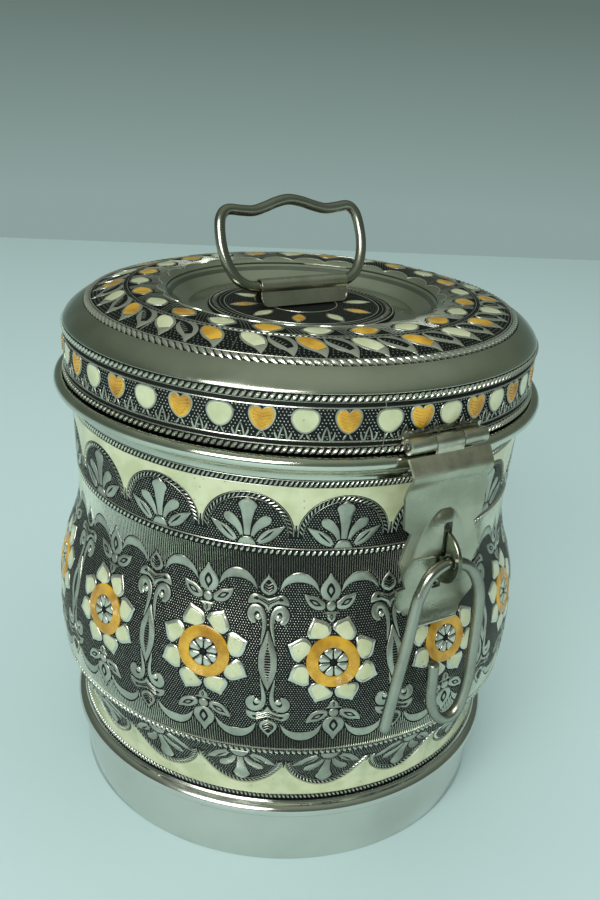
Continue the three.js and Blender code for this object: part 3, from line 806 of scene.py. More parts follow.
# %% The belt of arches at the neck
neck_line, neck_cusp, neck_edge = 143.55, 148.5, 167.6
neck_rope, neck_rope_lines = (167.7, 169.9), (167.5, 170.0)
neck = Relief(body_surface, 17, 93.0, first=-19.0)
palmette(neck, neck_line + 0.3, 1)
neck_ground = arched_belt(neck, neck_cusp, 1, neck_edge)
neck.hoop(neck_line, 0.33, 0.62, BRIGHT)
rope(neck, *neck_rope, 1.75, 1.5, BRIGHT)
for v in neck_rope_lines:
    neck.hoop(v, 0.22, 0.4, SILVER)


def pearl_field(name, relief, low, high, body="container", node="body_shell", keep=None, twist=None,
                finish=pearl_silver, **sizes):
    """The pearls of a belt as a piece of their own, grown wherever its motifs leave the ground open."""
    field = Relief(relief.surface, relief.copies, relief.reference, math.degrees(relief.first),
                   relief.wide_by_radius)
    field.prints = relief.prints
    print(name, "for one motif:", field.pearls(low, high, 0, keep=keep, **sizes))
    made = field.build(name, [finish], smooth_angle=80, **(twist or {}))
    return dress(made, body, "oxidised", node)


def finish_belt(name, relief, body="container", node="body_shell", **twist):
    return dress(relief.build(name, relief_materials, **twist), body, "oxidised", node)


finish_belt("body_neck_relief", neck)
pearl_field("body_neck_pearls", neck, neck_line + 0.5, neck_cusp + arch_depth, keep=neck_ground)

# %% [markdown]
# ## The flower belt
#
# Thirteen enamelled flowers stand round the belly with a slim baluster between each two. Above and below
# the flower is a trefoil, crescents swing from one to the next, and close ribs fill the space behind
# them. The upper half is mirrored in the lower, so each motif takes a direction as well as a place.
# %% The flower
belt_middle = 100.7
flower_z = 101.2
flowers = Relief(body_surface, 13, 96.0, first=-20.2)
half_belt = flowers.sector * flowers.reference / 2


def flower(relief, z):
    turn = np.linspace(0, 2 * np.pi, 48, endpoint=False)
    around = np.column_stack([np.cos(turn), np.sin(turn)])
    relief.blade(around * 7.55 + [0, z], 2.2, 0.62, ORANGE, closed=True, trace=False, section=ring_section)
    relief.avoid(around * 10.0 + [0, z])
    for radius in (6.2, 6.85, 7.5, 8.15, 8.8):
        teeth = 0.42 * (2 * np.abs((turn * 8 / (2 * np.pi)) % 1 * 2 - 1) - 1)
        relief.blade(around * (radius + teeth)[:, None] + [0, z], 0.15, 0.12, ORANGE, base=0.58,
                     closed=True, section=fine_section, trace=False)
    petal = bend(mirrored([(0, 9.3), (3.1, 9.5), (4.4, 11.2), (4.5, 13.3), (2.9, 15.2), (1.2, 16.5),
                           (0, 17.6)]), 3)[:-3]
    fill = bend(mirrored([(0, 9.5), (2.4, 9.7), (3.3, 11.3), (3.3, 12.9), (1.9, 14.4), (0, 15.8)]), 3)[:-3]
    wedge = mirrored([(0, 1.3), (0.45, 1.5), (1.6, 4.3), (1.35, 5.2), (0, 5.55)])
    for number in range(8):
        angle = 45 * number + 22.5
        relief.boss(moved(petal, y=z, turn=angle), 0.52, BRIGHT, slope=0.4, crown=0.0)
        relief.boss(moved(fill, y=z, turn=angle), 0.2, CREAM, slope=0.5, crown=0.1, base=0.42, trace=False)
        relief.boss(moved(wedge, y=z, turn=angle), 0.55, BRIGHT, slope=0.3, crown=0.1, trace=False)
    relief.boss(moved(oval(1.1, 1.1, 10), y=z), 0.35, DARK, trace=False)


flower(flowers, flower_z)

# %% The trefoil and the crescents


def almond(relief, x, z, half, tall, turn=0.0):
    """A dark eye with a silver seed in it, on top of a leaf."""
    for share, slot, base in ((1.0, DARK, 0.5), (0.52, SILVER, 0.54)):
        lens = mirrored([(0, -tall * share), (half * share, 0), (0, tall * share)])
        relief.boss(moved(rounded(lens, 4), x=x, y=z, turn=turn), 0.07, slot, slope=0.1, crown=0.05,
                    base=base, trace=False)


def trefoil(relief, up):
    def leaf(points):
        relief.boss(moved(rounded(points), y=belt_middle, tip=up), 0.5, SILVER, slope=0.35, crown=0.05)

    def eye(x, y, half, tall, turn=0.0):
        almond(relief, x, belt_middle + up * y, half, tall, turn * up)

    leaf(mirrored([(0, 22.0), (2.7, 23.1), (4.0, 25.6), (3.4, 28.4), (1.4, 31.0), (0, 33.4)]))
    eye(0, 26.3, 1.7, 3.1)
    for side in (-1, 1):
        leaf(np.array([(2.1, 21.8), (5.2, 24.0), (7.7, 24.5), (10.0, 24.9), (9.1, 21.9), (7.2, 19.8),
                       (4.6, 19.0), (2.3, 19.6)]) * [side, 1])
        eye(side * 5.9, 21.8, 1.05, 2.7, -62 * side)
    relief.boss(moved(oval(1.9, 1.9, 14), y=belt_middle + up * 20.5), 0.62, SILVER, slope=0.5, crown=0.12)
    leaf(mirrored([(0, 14.6), (1.5, 15.9), (1.7, 17.4), (3.1, 18.3), (0, 18.6)]))
    eye(0, 16.6, 0.55, 1.2)
    for side in (-1, 1):
        arc = bend([(4.2, 25.6), (6.2, 28.9), (8.8, 30.7), (11.6, 31.3), (14.4, 30.7), (17.0, 28.9),
                    (19.0, 25.6)], 3)
        relief.blade(moved(arc * [side, 1], y=belt_middle, tip=up),
                     swelling([(0, 0.12), (0.2, 1.2), (0.5, 2.2), (0.8, 1.2), (1, 0.12)], len(arc)), 0.5,
                     SILVER)


for direction in (1, -1):
    trefoil(flowers, direction)

# %% The baluster between two flowers


def chevrons(relief, x, low, half, drop, count, pitch, up, base):
    for number in range(count):
        v = belt_middle + up * (low + number * pitch)
        points = np.array([(x - half, v + up * drop), (x, v), (x + half, v + up * drop)])
        relief.blade(points, 0.2, 0.14, SILVER, base=base, section=fine_section, trace=False)


def baluster(relief, x):
    def shape(points, height, slot, base=0.0, up=1, trace=True, slope=0.3):
        relief.boss(moved(rounded(points), x=x, y=belt_middle, tip=up), height, slot, slope=slope,
                    crown=0.04, base=base, trace=trace)

    lens = mirrored([(0, -11.2), (1.5, -8.0), (3.0, -3.6), (3.4, 0.2), (3.0, 4.2), (1.4, 8.4), (0, 11.8)])
    shape(lens, 0.52, SILVER)
    shape(lens * [0.4, 0.64], 0.05, DARK, base=0.5, trace=False)
    for number in range(13):
        v = -6.0 + number
        half = 1.15 * max(1 - (v / 7.0) ** 2, 0.12)
        relief.blade([(x - half, belt_middle + v), (x + half, belt_middle + v)], 0.16, 0.1, SILVER,
                     base=0.54, section=fine_section, trace=False)
    wing = mirrored([(0, 17.6), (1.7, 20.0), (4.6, 21.0), (7.6, 20.2), (7.4, 22.6), (5.4, 24.3), (2.6, 23.6),
                     (0, 22.8)])
    wing_eye = mirrored([(0, 19.6), (1.6, 21.1), (4.4, 21.9), (5.6, 22.3), (4.6, 23.2), (2.5, 22.7),
                         (0, 22.1)])
    for up in (1, -1):
        shape(mirrored([(0, 23.7), (2.5, 24.9), (3.2, 27.2), (1.9, 29.6), (0.6, 31.0), (0, 32.4)]), 0.5,
              SILVER, up=up)
        shape(mirrored([(0, 24.9), (1.6, 25.8), (2.1, 27.2), (1.2, 28.8), (0, 30.0)]), 0.05, DARK, 0.5, up,
              False, 0.1)
        chevrons(relief, x, 25.4, 1.5, 0.9, 3, 1.1, up, 0.53)
        shape(wing, 0.5, SILVER, up=up)
        shape(wing_eye, 0.05, DARK, 0.5, up, False, 0.1)
        chevrons(relief, x, 20.2, 4.0, 2.0, 3, 0.8, up, 0.53)
        for side in (-1, 1):
            stem = bend([(2.5, 6.6), (2.0, 9.4), (1.45, 12.8), (1.6, 16.0), (3.0, 18.6), (5.3, 19.0),
                         (6.5, 17.0), (5.7, 14.9), (4.5, 14.2)], 3)
            widths = swelling([(0, 0.25), (0.25, 0.75), (0.5, 1.15), (0.7, 1.5), (0.86, 1.3), (1, 0.5)],
                              len(stem))
            relief.blade(moved(stem * [side, 1], x=x, y=belt_middle, tip=up), widths, 0.48, SILVER)
            relief.boss(moved(oval(1.3, 1.3, 10), x=x + side * 3.7, y=belt_middle + up * 16.0), 0.5, BRIGHT,
                        slope=0.6, crown=0.15)


baluster(flowers, half_belt)

# %% Ribs behind the crescents
rib_pitch, rib_from, rib_to = 0.9, 26.5, 40.0


def ribs(relief, up):
    count = int(2 * half_belt / rib_pitch)
    steps = np.arange(rib_from, rib_to, 0.25)
    for number in range(count):
        x = (number + 0.5) / count * 2 * half_belt - half_belt
        angle, v = relief.place(np.column_stack([np.full(len(steps), x), belt_middle + up * steps])).T
        hit = relief.covered_nearby(angle, v)
        low = steps[np.nonzero(hit)[0].max() + 1] if hit.any() else rib_from
        ends = belt_middle + up * np.array([low, (low + rib_to) / 2, rib_to])
        rib = np.column_stack([np.full(3, x), ends])
        relief.blade(rib, 0.27, 0.5, BRIGHT, section=fine_section, trace=False)


for direction in (1, -1):
    ribs(flowers, direction)
rope(flowers, 140.9, 142.8, 2.16, 1.3, BRIGHT)
flowers.hoop(62.75, 0.33, 0.62, BRIGHT)
belt_twist = dict(skew=-0.03, skew_from=belt_middle)
finish_belt("body_flower_relief", flowers, **belt_twist)

# %% Pearls of the flower belt


def within_crescents(x, v):
    """The pearled ground reaches up into each crescent and down into the mirrored ones."""
    x = np.abs((x + half_belt) % (2 * half_belt) - half_belt)
    reach = 26.6 + 3.2 * np.clip(1 - ((x - 11.6) / 7.6) ** 2, 0, 1)
    return np.abs(v - belt_middle) < reach


pearl_reach = 30.5
pearl_field("body_flower_pearls", flowers, belt_middle - pearl_reach, belt_middle + pearl_reach,
            keep=within_crescents, twist=belt_twist)

# %% [markdown]
# ## The belt above the foot
#
# The arches come back upside down, with eighteen of them here. The same functions draw them.
# %% The lower belt
foot_line, foot_cusp, foot_edge = 59.6, 54.5, 33.8
foot = Relief(body_surface, 18, 94.0, first=-19.3)
palmette(foot, foot_line, -1, tall=1.05)
foot_ground = arched_belt(foot, foot_cusp, -1, foot_edge)
for low, high, pitch in ((60.0, 61.8, 2.1), (31.7, 33.5, 1.75)):
    rope(foot, low, high, pitch, -1.3, BRIGHT)
foot.hoop(33.7, 0.2, 0.4, SILVER)
finish_belt("body_foot_relief", foot)
pearl_field("body_foot_pearls", foot, foot_cusp - arch_depth, foot_line, keep=foot_ground)

# %% [markdown]
# ## The lid's side band
#
# A strip of hearts and drops was stamped flat, bent round the lid and soldered, so it has a seam. The
# motifs stand closer on one side of the seam than on the other, as they do where two strips meet. A
# band that never repeats is drawn as one sector of a full turn, and each motif is drawn once at the
# front and carried to its place by the relief's own turn.
# %% The surface of the band
band_radius, band_low, band_high = 95.8, 181.1, 201.6
band_sink = 0.5
band_line = [(band_radius, v) for v in (band_low, (band_low + band_high) / 2, band_high)]
band_surface = Turned(band_line, sink=band_sink)
band = Relief(band_surface, 1, band_radius)
band_ground_low, band_ground_high = 186.1, 197.2
seam_turn, motif_z = -13.0, 192.9
heart_half = bend([(0, 3.2), (1.1, 4.2), (2.8, 4.5), (4.3, 3.5), (4.8, 1.4), (4.1, -1.2), (2.4, -3.5),
                   (0, -4.8)], 3)
drop_half = bend([(0, 4.2), (2.3, 4.1), (4.2, 3.1), (5.0, 0.9), (4.5, -1.3), (3.1, -3.3), (1.4, -4.4),
                  (0, -4.7)], 3)


def band_motif(relief, orange):
    outline = mirrored(heart_half if orange else drop_half)
    relief.boss(outline + [0, motif_z], 0.45, SILVER, slope=0.2, crown=0.0, gap=0.35)
    relief.boss(outline * 0.87 + [0, motif_z], 0.12, ORANGE if orange else CREAM, slope=0.3, crown=0.1,
                base=0.4, trace=False)
    for number, half in enumerate((1.3, 2.1, 2.9, 3.2, 2.9) if orange else ()):
        low = motif_z - 2.9 + number * 1.15
        relief.blade([(-half, low + 0.9), (0, low), (half, low + 0.9)], 0.24, 0.3, ORANGE, base=0.56,
                     section=fine_section, trace=False)
    for side in (-1, 1):
        if not orange:
            relief.blade([(side * 4.4, motif_z + 1.9), (side * 5.6, motif_z + 1.4)],
                         swelling([(0, 0.5), (1, 0.05)], 2), 0.4, SILVER, section=line_section)
        foot_leaf = bend([(side * 0.5, motif_z - 4.6), (side * 1.1, motif_z - 5.7),
                          (side * 1.7, motif_z - 6.6)], 3)
        relief.blade(foot_leaf, swelling([(0, 0.2), (0.5, 0.5), (1, 0.15)], len(foot_leaf)), 0.4, SILVER)


def sprout(relief):
    """Three spiky leaves that grow from the lower line between two motifs."""
    for points, width in (([(-1.4, 0), (-0.9, 2.4), (0, 4.9)], 0.42),
                          ([(1.4, 0), (0.9, 2.4), (0, 4.9)], 0.42),
                          ([(-0.7, 1.4), (0.7, 1.4)], 0.22), ([(-1.9, 0), (-2.6, 1.5), (-2.8, 2.7)], 0.5),
                          ([(1.9, 0), (2.6, 1.5), (2.8, 2.7)], 0.5)):
        spine = bend(np.array(points) + [0, band_ground_low], 4)
        relief.blade(spine, swelling([(0, width), (0.6, width), (1, 0.12)], len(spine)), 0.42, SILVER,
                     section=line_section)


# %% The motifs of the band


def motif_places():
    """Degrees of each motif, wider apart on one side of the seam."""
    first = seam_turn + 1.0
    return [(first + index * (8.55 if index < 0 else 7.2), index % 2) for index in range(-32, 12)]


places = motif_places()
for (turn, orange), (after, _) in zip(places, places[1:] + [(places[0][0] + 360, 0)]):
    band.turn = math.radians(turn)
    band_motif(band, bool(orange))
    band.turn = math.radians((turn + after) / 2)
    sprout(band)
band.turn = math.radians(seam_turn)
band.blade([(-0.6, 201.0), (0.3, 193.0), (-0.2, 181.6)], 0.3, 0.5, SILVER, section=fine_section)
for v, half, slot in ((183.95, 0.28, SILVER), (185.8, 0.36, BRIGHT), (197.45, 0.36, BRIGHT),
                      (199.35, 0.26, SILVER)):
    band.hoop(v, half, 0.6, slot)
for low, high in ((181.2, 183.4), (199.6, 201.6)):
    rope(band, low, high, 2.4, 2.4, BRIGHT, fat=0.4, height=1.15)
print("motifs on the band:", len(places))

# %% The strip behind the motifs
strip_face = band_radius - band_sink
strip_outer = [(strip_face, band_low), (strip_face, band_high - 0.2), (strip_face - 0.15, band_high)]
strip_inner = [(strip_face - 0.45, band_high), (strip_face - 0.45, band_low)]
band_strip = turned_piece("lid_band_strip", strip_outer, strip_inner, ground_metal, inside_metal)
dress(band_strip, "lid", "oxidised", "lid_band")
finish_belt("lid_band_relief", band, "lid", "lid_band")
pearl_field("lid_band_pearls", band, band_ground_low, band_ground_high, "lid", "lid_band", pitch=1.25,
            size=0.46)

# %% [markdown]
# ## The stamped ring on the lid
#
# The ring is gently domed. Sweeping leaves run round it, one in two filled with enamel, and inside them
# ovals follow a double line. The same builders work here because this surface is addressed by radius
# instead of height: a motif's y runs inward and its x along the ring.
# %% The surface of the ring
ring_sink = 0.5
ring_curve = smooth_line([(54.4, 212.4), (55.8, 213.5), (58.0, 214.3), (62.0, 214.95), (66.0, 214.9),
                          (70.0, 214.45), (73.0, 214.0), (77.0, 213.1), (81.0, 212.0), (84.5, 210.8),
                          (86.6, 209.5), (87.1, 208.7), (87.2, 208.1)])
ring_surface = Turned(ring_curve, by_radius=True, sink=ring_sink)
ring = Relief(ring_surface, 1, 100.0, wide_by_radius=True)
oval_count, oval_radius = 24, 65.5
first_oval = math.radians(-25.95)


def scallop(turn):
    """Radius of the scalloped line that bounds the polished opening."""
    return 55.8 + 2.8 * np.abs(np.sin(oval_count / 2 * (turn - first_oval))) ** 0.7


# %% Ovals and the strokes between them


def ring_oval(relief, slot):
    lens = mirrored([(0, 4.2), (2.4, 3.75), (4.4, 2.2), (6.0, 0.0), (4.4, -2.2), (2.4, -3.75), (0, -4.2)])
    for share, height, base, colour, trace in ((1.0, 0.48, 0.0, SILVER, True),
                                               (0.84, 0.14, 0.42, slot, False)):
        outline = rounded(lens * share, 2) + [0, relief.reference - oval_radius]
        relief.boss(outline, height, colour, slope=0.25, crown=0.06, base=base, trace=trace)


def strokes(relief, low, high, lean, count):
    """Slanting strokes round the ring that stop where an oval stands."""
    steps = np.linspace(0, 1, 20)
    stroke = np.column_stack([lean * (steps - 0.5), relief.reference - (low + (high - low) * steps)])
    for number in range(count):
        relief.turn = (number / count - 0.5) * 2 * np.pi
        angle, v = relief.place(stroke).T
        hit = relief.covered_nearby(angle, v)
        edges = np.flatnonzero(np.diff(np.concatenate([[1], hit, [1]])))
        start, end = max(zip(edges[::2], edges[1::2]), key=lambda run: run[1] - run[0], default=(0, 0))
        if end - start > 4:
            free = stroke[[start, (start + end) // 2, end - 1]]
            relief.blade(free, 0.24, 0.4, SILVER, section=fine_section, trace=False)


for number in range(oval_count):
    ring.turn = first_oval + number * 2 * np.pi / oval_count
    ring_oval(ring, ORANGE if number % 2 else CREAM)
strokes(ring, 57.6, 69.6, 7.0, 300)

# %% Leaves
leaf_spine = bend([(-7.4, 72.6), (-5.6, 74.1), (-3.6, 75.7), (-1.9, 77.7), (-0.7, 80.4), (0, 84.1)], 4)
leaf_width = [(0, 0.4), (0.15, 2.5), (0.35, 3.5), (0.55, 3.5), (0.75, 2.5), (0.9, 1.1), (1, 0.08)]
enamels = {"cream": CREAM, "orange": ORANGE}


def ring_leaf(relief, kind):
    angle, radius = leaf_spine.T
    spine = np.column_stack([np.radians(angle) * radius, relief.reference - radius])
    widths = swelling(leaf_width, len(spine))
    relief.blade(spine, widths * 1.1, 0.5, BRIGHT, section=flat_section, gap=0.3)
    inner, core = spine[1:-5], np.maximum(widths - 0.62, 0.1)[1:-5]
    if kind in enamels:
        relief.blade(inner, core, 0.2, enamels[kind], base=0.42, section=flat_section, trace=False)
        return
    core = core * 0.62
    relief.blade(inner, core, 0.06, DARK, base=0.5, section=flat_section, trace=False)
    for here, across, wide in list(zip(inner, sideways(inner), core))[3:-2:2]:
        relief.blade([here + across * wide * 0.1, here + across * wide * 0.85], 0.16, 0.1, SILVER,
                     base=0.56, section=fine_section, trace=False)


def leaf_places():
    """Degrees of each leaf tip: two rows of dies that meet beside the hasp."""
    kinds = ("cream", "hollow", "orange", "hollow")
    right = [(-39.65 + 7.45 * index, kinds[index % 4]) for index in range(24)]
    left = [(-51.0 - 7.7 * index, kinds[(2 + index) % 4]) for index in range(23)]
    return left + right


for turn, kind in leaf_places():
    ring.turn = math.radians(turn)
    ring_leaf(ring, kind)

# %% Lines, dashes, rope and the polished lip
dash_radius, dash_count, dash_half = 71.1, 220, 0.55
lip_start, lip_crest, lip_steps = 54.5, 55.0, 480
ring.turn = 0.0
for radius, half, height, slot in ((84.75, 0.3, 0.62, BRIGHT), (71.9, 0.24, 0.5, SILVER),
                                   (70.3, 0.22, 0.5, SILVER)):
    ring.hoop(radius, half, height, slot)
dash = [(side * dash_half, ring.reference - dash_radius) for side in (-1, 1)]
for number in range(dash_count):
    ring.turn = (number / dash_count - 0.5) * 2 * np.pi
    ring.blade(dash, 0.25, 0.4, SILVER, section=fine_section, trace=False)
ring.turn = 0.0
ring.hoop(scallop, 0.35, 0.72, BRIGHT, steps=lip_steps)
rope(ring, 85.15, 87.05, 3.0, 4.2, BRIGHT, fat=0.33, height=1.1)
for seam in (-72.9, -47.0):
    ring.turn = math.radians(seam)
    ring.blade([(-0.2, 12.4), (0.4, 17.0), (-0.3, 24.0)], 0.22, 0.6, BRIGHT, section=fine_section,
               trace=False)
ring.turn = 0.0
lip_turns = np.linspace(-np.pi, np.pi, lip_steps + 1)
lip_edge, level = scallop(lip_turns), np.ones(lip_steps + 1)
lip_radii = [level * lip_start, level * lip_crest, (lip_crest + lip_edge) / 2, lip_edge - 0.2, lip_edge]
lip_radii = np.stack(lip_radii, axis=1)
lip_rows = np.stack([np.repeat(lip_turns[:, None], lip_radii.shape[1], axis=1), lip_radii], axis=-1)
ring.strip(lip_rows, np.tile([-0.5, 0.4, 0.46, 0.46, 0.0], (lip_steps + 1, 1)), POLISHED, placed=True)
finish_belt("lid_ring_relief", ring, "lid", "lid_ring")
pearl_field("lid_ring_pearls", ring, 72.8, 84.3, "lid", "lid_ring", pitch=1.62, size=0.5, finish=pearl_dim)

# %% The sheet of the ring


def sunk(surface, low, high, steps, depth):
    """Points of a radius-addressed surface, moved inward by a depth."""
    radius, z, out, up = surface.at(np.linspace(low, high, steps))
    return np.column_stack([radius - depth * out, z - depth * up])


ring_sheet = turned_piece("lid_ring_sheet", sunk(ring_surface, 54.6, 87.1, 40, ring_sink),
                          sunk(ring_surface, 54.6, 86.0, 40, ring_sink + 0.6)[::-1], ground_metal)
dress(ring_sheet, "lid", "oxidised", "lid_ring")

# %% [markdown]
# ## The lid's sheet
#
# One spun sheet makes the skirt inside the side band, the rounded shoulder that lies over the band's
# upper edge, the seat under the stamped ring and the shallow polished dish. Only its outline is drawn.
# %% Skirt, shoulder, seat and dish
dish_points = [(54.9, 212.1), (53.3, 210.3), (51.0, 208.2), (48.8, 206.6), (46.6, 205.9), (43.0, 206.0),
               (38.7, 206.5)]
cap_dish = [tuple(point) for point in smooth_line(dish_points, 5)]
shoulder_points = [(95.4, 201.9), (95.7, 202.3), (95.1, 203.4), (93.7, 205.0), (91.7, 206.7), (89.5, 208.1),
                   (87.5, 209.0)]
shoulder = [tuple(point) for point in smooth_line(shoulder_points, 6)]
seat = [(87.1, 208.0), (84.2, 207.7), (72.8, 211.9), (63.2, 213.6)] + cap_dish + [(0, 206.5)]
cap_top = [(94.5, 181.4), (94.5, 201.9)] + shoulder + seat
cap_thick = 0.9
cap_under = [(93.6, 202.8)]
cap_under += [(max(radius - cap_thick, 0), z - cap_thick) for radius, z in shoulder[14:] + seat]
cap = turned_piece("lid_sheet", cap_top, cap_under[::-1] + [(93.6, 181.4)], polished_sheet, inside_metal)
dress(cap, "lid", "polished", "lid_cap")

# %% [markdown]
# ## The medallion under the handle
#
# A small disc with ten petals in two enamels sits in the dish. Half of it hides under the handle.
# %% Petals of the medallion
disc_top, disc_sink, petal_radius = 208.0, 0.4, 24
disc_drops = ((0.5, 0), (20.0, 0), (35.0, 0.15), (37.8, 0.4), (38.6, 0.9))
disc_surface = Turned(smooth_line([(radius, disc_top - drop) for radius, drop in disc_drops]),
                      by_radius=True, sink=disc_sink)
disc = Relief(disc_surface, 5, 40.0, first=3.2, wide_by_radius=True)


def petal(relief, slot):
    lens = mirrored([(0, 6.2), (1.7, 4.2), (2.9, 1.2), (2.8, -1.6), (1.5, -4.4), (0, -6.2)])
    for share, height, base, colour, trace in ((1.0, 0.34, 0.0, SILVER, True),
                                               (0.8, 0.1, 0.3, slot, False)):
        outline = rounded(lens * share, 2) + [0, relief.reference - petal_radius]
        relief.boss(outline, height, colour, slope=0.25, crown=0.04, base=base, trace=trace)


for step, slot in ((0, CREAM), (36, ORANGE)):
    disc.turn = math.radians(step)
    petal(disc, slot)
disc.turn = 0.0
for radius, half, slot in ((14.6, 0.35, BRIGHT), (31.6, 0.3, BRIGHT), (33.4, 0.22, SILVER),
                           (37.6, 0.4, BRIGHT)):
    disc.hoop(radius, half, 0.38, slot)
rope(disc, 34.4, 36.8, 2.0, 1.4, SILVER, height=0.36)
finish_belt("lid_medallion_relief", disc, "lid", "lid_medallion")
pearl_field("lid_medallion_pearls", disc, 15.3, 31.2, "lid", "lid_medallion", pitch=1.2, size=0.36,
            height=0.3)
disc_face = sunk(disc_surface, 0.5, 38.5, 16, disc_sink)[::-1].tolist() + [[0, disc_top - disc_sink]]
disc_plate = turned_piece("lid_medallion_sheet", disc_face, [(0, 206.8), (38.4, 206.8)], ground_metal)
dress(disc_plate, "lid", "oxidised", "lid_medallion")

# %% [markdown]
# ## Foot and rim
#
# Both are plain polished bands spun from sheet. The foot swells into a bead under the stamped wall, and
# the rim flares out and is rolled over a wire, which makes it stiff and safe to touch.
# %% The foot band
foot_side = [(90.9, 0.0), (91.2, 0.5), (91.5, 9.0), (91.8, 18.0), (91.9, 23.4), (92.0, 24.3)]
foot_bead = smooth_line([(92.0, 24.3), (93.6, 24.7), (94.8, 26.0), (95.0, 27.3), (94.7, 28.6), (93.6, 29.7),
                         (92.2, 30.3), (91.8, 30.8)], 4)
foot_outer = foot_side[:-1] + [tuple(point) for point in foot_bead] + [(91.6, 31.1)]
foot_inner = [(89.9, 31.1), (89.9, 37.4), (89.1, 37.4), (89.1, 25.4), (90.2, 18.5), (90.1, 0.0)]
foot_band = turned_piece("foot_band", foot_outer, foot_inner, foot_sheet, inside_metal, segments=192)
dress(foot_band, "container", "polished", "base_ring")

# %% The rolled rim
bead_centre, bead_height, bead_radius = 97.5, 178.3, 2.5


def arc(centre, radius, start, end, steps):
    turn = np.radians(np.linspace(start, end, steps))
    return [(centre[0] + radius * math.cos(a), centre[1] + radius * math.sin(a)) for a in turn]


flare = smooth_line([(93.2, 170.7), (93.6, 172.0), (94.3, 173.3), (95.2, 174.5), (96.2, 175.4),
                     (97.5, 175.8)], 4)
rim_outer = [(91.7, 164.3), (91.7, 170.5)] + [tuple(point) for point in flare[:-1]]
rim_outer += arc((bead_centre, bead_height), bead_radius, -90, 180, 22)
rim_inner = arc((bead_centre, bead_height), bead_radius - 0.6, 180, -60, 14)
rim_inner += [(95.8, 175.8), (94.1, 173.9), (92.6, 172.0), (90.9, 169.8), (90.9, 164.3)]
rim = turned_piece("rolled_rim", rim_outer, rim_inner, polished_sheet, inside_metal, segments=192)
dress(rim, "container", "polished", "rim_collar")

# %% [markdown]
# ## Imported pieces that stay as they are
#
# The bottom plate and the wire in the rim are simple solids and hardly show, so they keep their meshes
# and only receive a finish.
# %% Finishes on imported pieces
for name, finish in (("bottom_plate", inside_metal), ("rim_wire", wire_metal)):
    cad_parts[name].data.materials.clear()
    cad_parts[name].data.materials.append(finish)

# %% [markdown]
# ## Wire
#
# The handle and the lock hook are bent from round wire. A Blender curve with a round bevel would give
# the same tube, but its twist is hard to foresee, so a circle is carried along the path and turned as
# little as possible from step to step. The cut ends are slightly rounded.
# %% Sweeping a circle
hinge_y, hinge_z = 99.7, 184.9


def sweep(path, radius, sides=20):
    """Points and faces of a round wire along a path, with rounded ends. The radius may change."""
    path = np.asarray(path, float)
    radii = np.full(len(path), radius) if np.isscalar(radius) else np.asarray(radius)
    ahead = np.gradient(path, axis=0)
    ahead /= np.linalg.norm(ahead, axis=1)[:, None]
    side = np.cross(ahead[0], (0.3, 0.5, 0.8))
    rings = []
    turn = np.arange(sides) / sides * 2 * np.pi
    for here, way in zip(path, ahead):
        side = side - way * side.dot(way)
        side /= np.linalg.norm(side)
        rings.append(np.cos(turn)[:, None] * side + np.sin(turn)[:, None] * np.cross(way, side))
    rows = [path[0] + rings[0] * radii[0] * 0.75 - ahead[0] * radii[0] * 0.2]
    rows += [here + ring * wide for here, ring, wide in zip(path, rings, radii)]
    rows += [path[-1] + rings[-1] * radii[-1] * 0.75 + ahead[-1] * radii[-1] * 0.2]
    count = len(rows)
    number = np.arange(count * sides).reshape(count, sides)
    quads = ring_quads(number)
    tops = [rows[0].mean(axis=0), rows[-1].mean(axis=0)]
    fans = [np.column_stack([np.roll(number[0], -1), number[0], np.full(sides, count * sides)]),
            np.column_stack([number[-1], np.roll(number[-1], -1), np.full(sides, count * sides + 1)])]
    return np.vstack(rows + [tops]), quads, np.vstack(fans)


class Bench:
    """Collects the parts of one piece before its mesh is made."""

    def __init__(self):
        self.points, self.quads, self.tris, self.slots, self.count = [], [], [], [[], []], 0

    def add(self, points, quads, tris=None, slot=0):
        self.points.append(np.asarray(points, float))
        for kind, block in enumerate((quads, tris)):
            if block is not None and len(block):
                (self.quads, self.tris)[kind].append(np.asarray(block) + self.count)
                self.slots[kind].append(np.full(len(block), 0) + slot)
        self.count += len(points)

    def build(self, name, materials, smooth_angle=40):
        faces = [np.vstack(blocks) for blocks in (self.quads, self.tris) if blocks]
        marks = [np.concatenate(blocks) for blocks in self.slots if blocks]
        points = np.vstack(self.points)
        return add_mesh(name, points * mm, faces, marks, materials, np.ones(len(points)), smooth_angle)


# %% The handle
bail_z, bail_half, bail_height, bail_slide = 216.0, 32.5, 34.0, -1.3
bail_lean, wire_radius = math.radians(22), 2.15
bail_shares = [(0.012, 0), (0.40, 0), (0.64, 0), (0.75, 0.03), (0.87, 0.12), (0.96, 0.29), (1.0, 0.50),
               (0.985, 0.74), (0.93, 0.86), (0.84, 0.905), (0.68, 0.89), (0.51, 0.88), (0.34, 0.92),
               (0.18, 0.97)]
half_loop = [(across * bail_half, up * bail_height) for across, up in bail_shares]
loop = smooth_line(half_loop + [(0, bail_height)] + [(-x, w) for x, w in half_loop[::-1]], 7)
bail_path = [(x + bail_slide, w * math.sin(bail_lean), bail_z + w * math.cos(bail_lean)) for x, w in loop]
bail = Bench()
bail.add(*sweep(bail_path, wire_radius, 24))
dress(bail.build("handle_wire", [wire_metal], 60), "handle", "wire", "handle_bail")

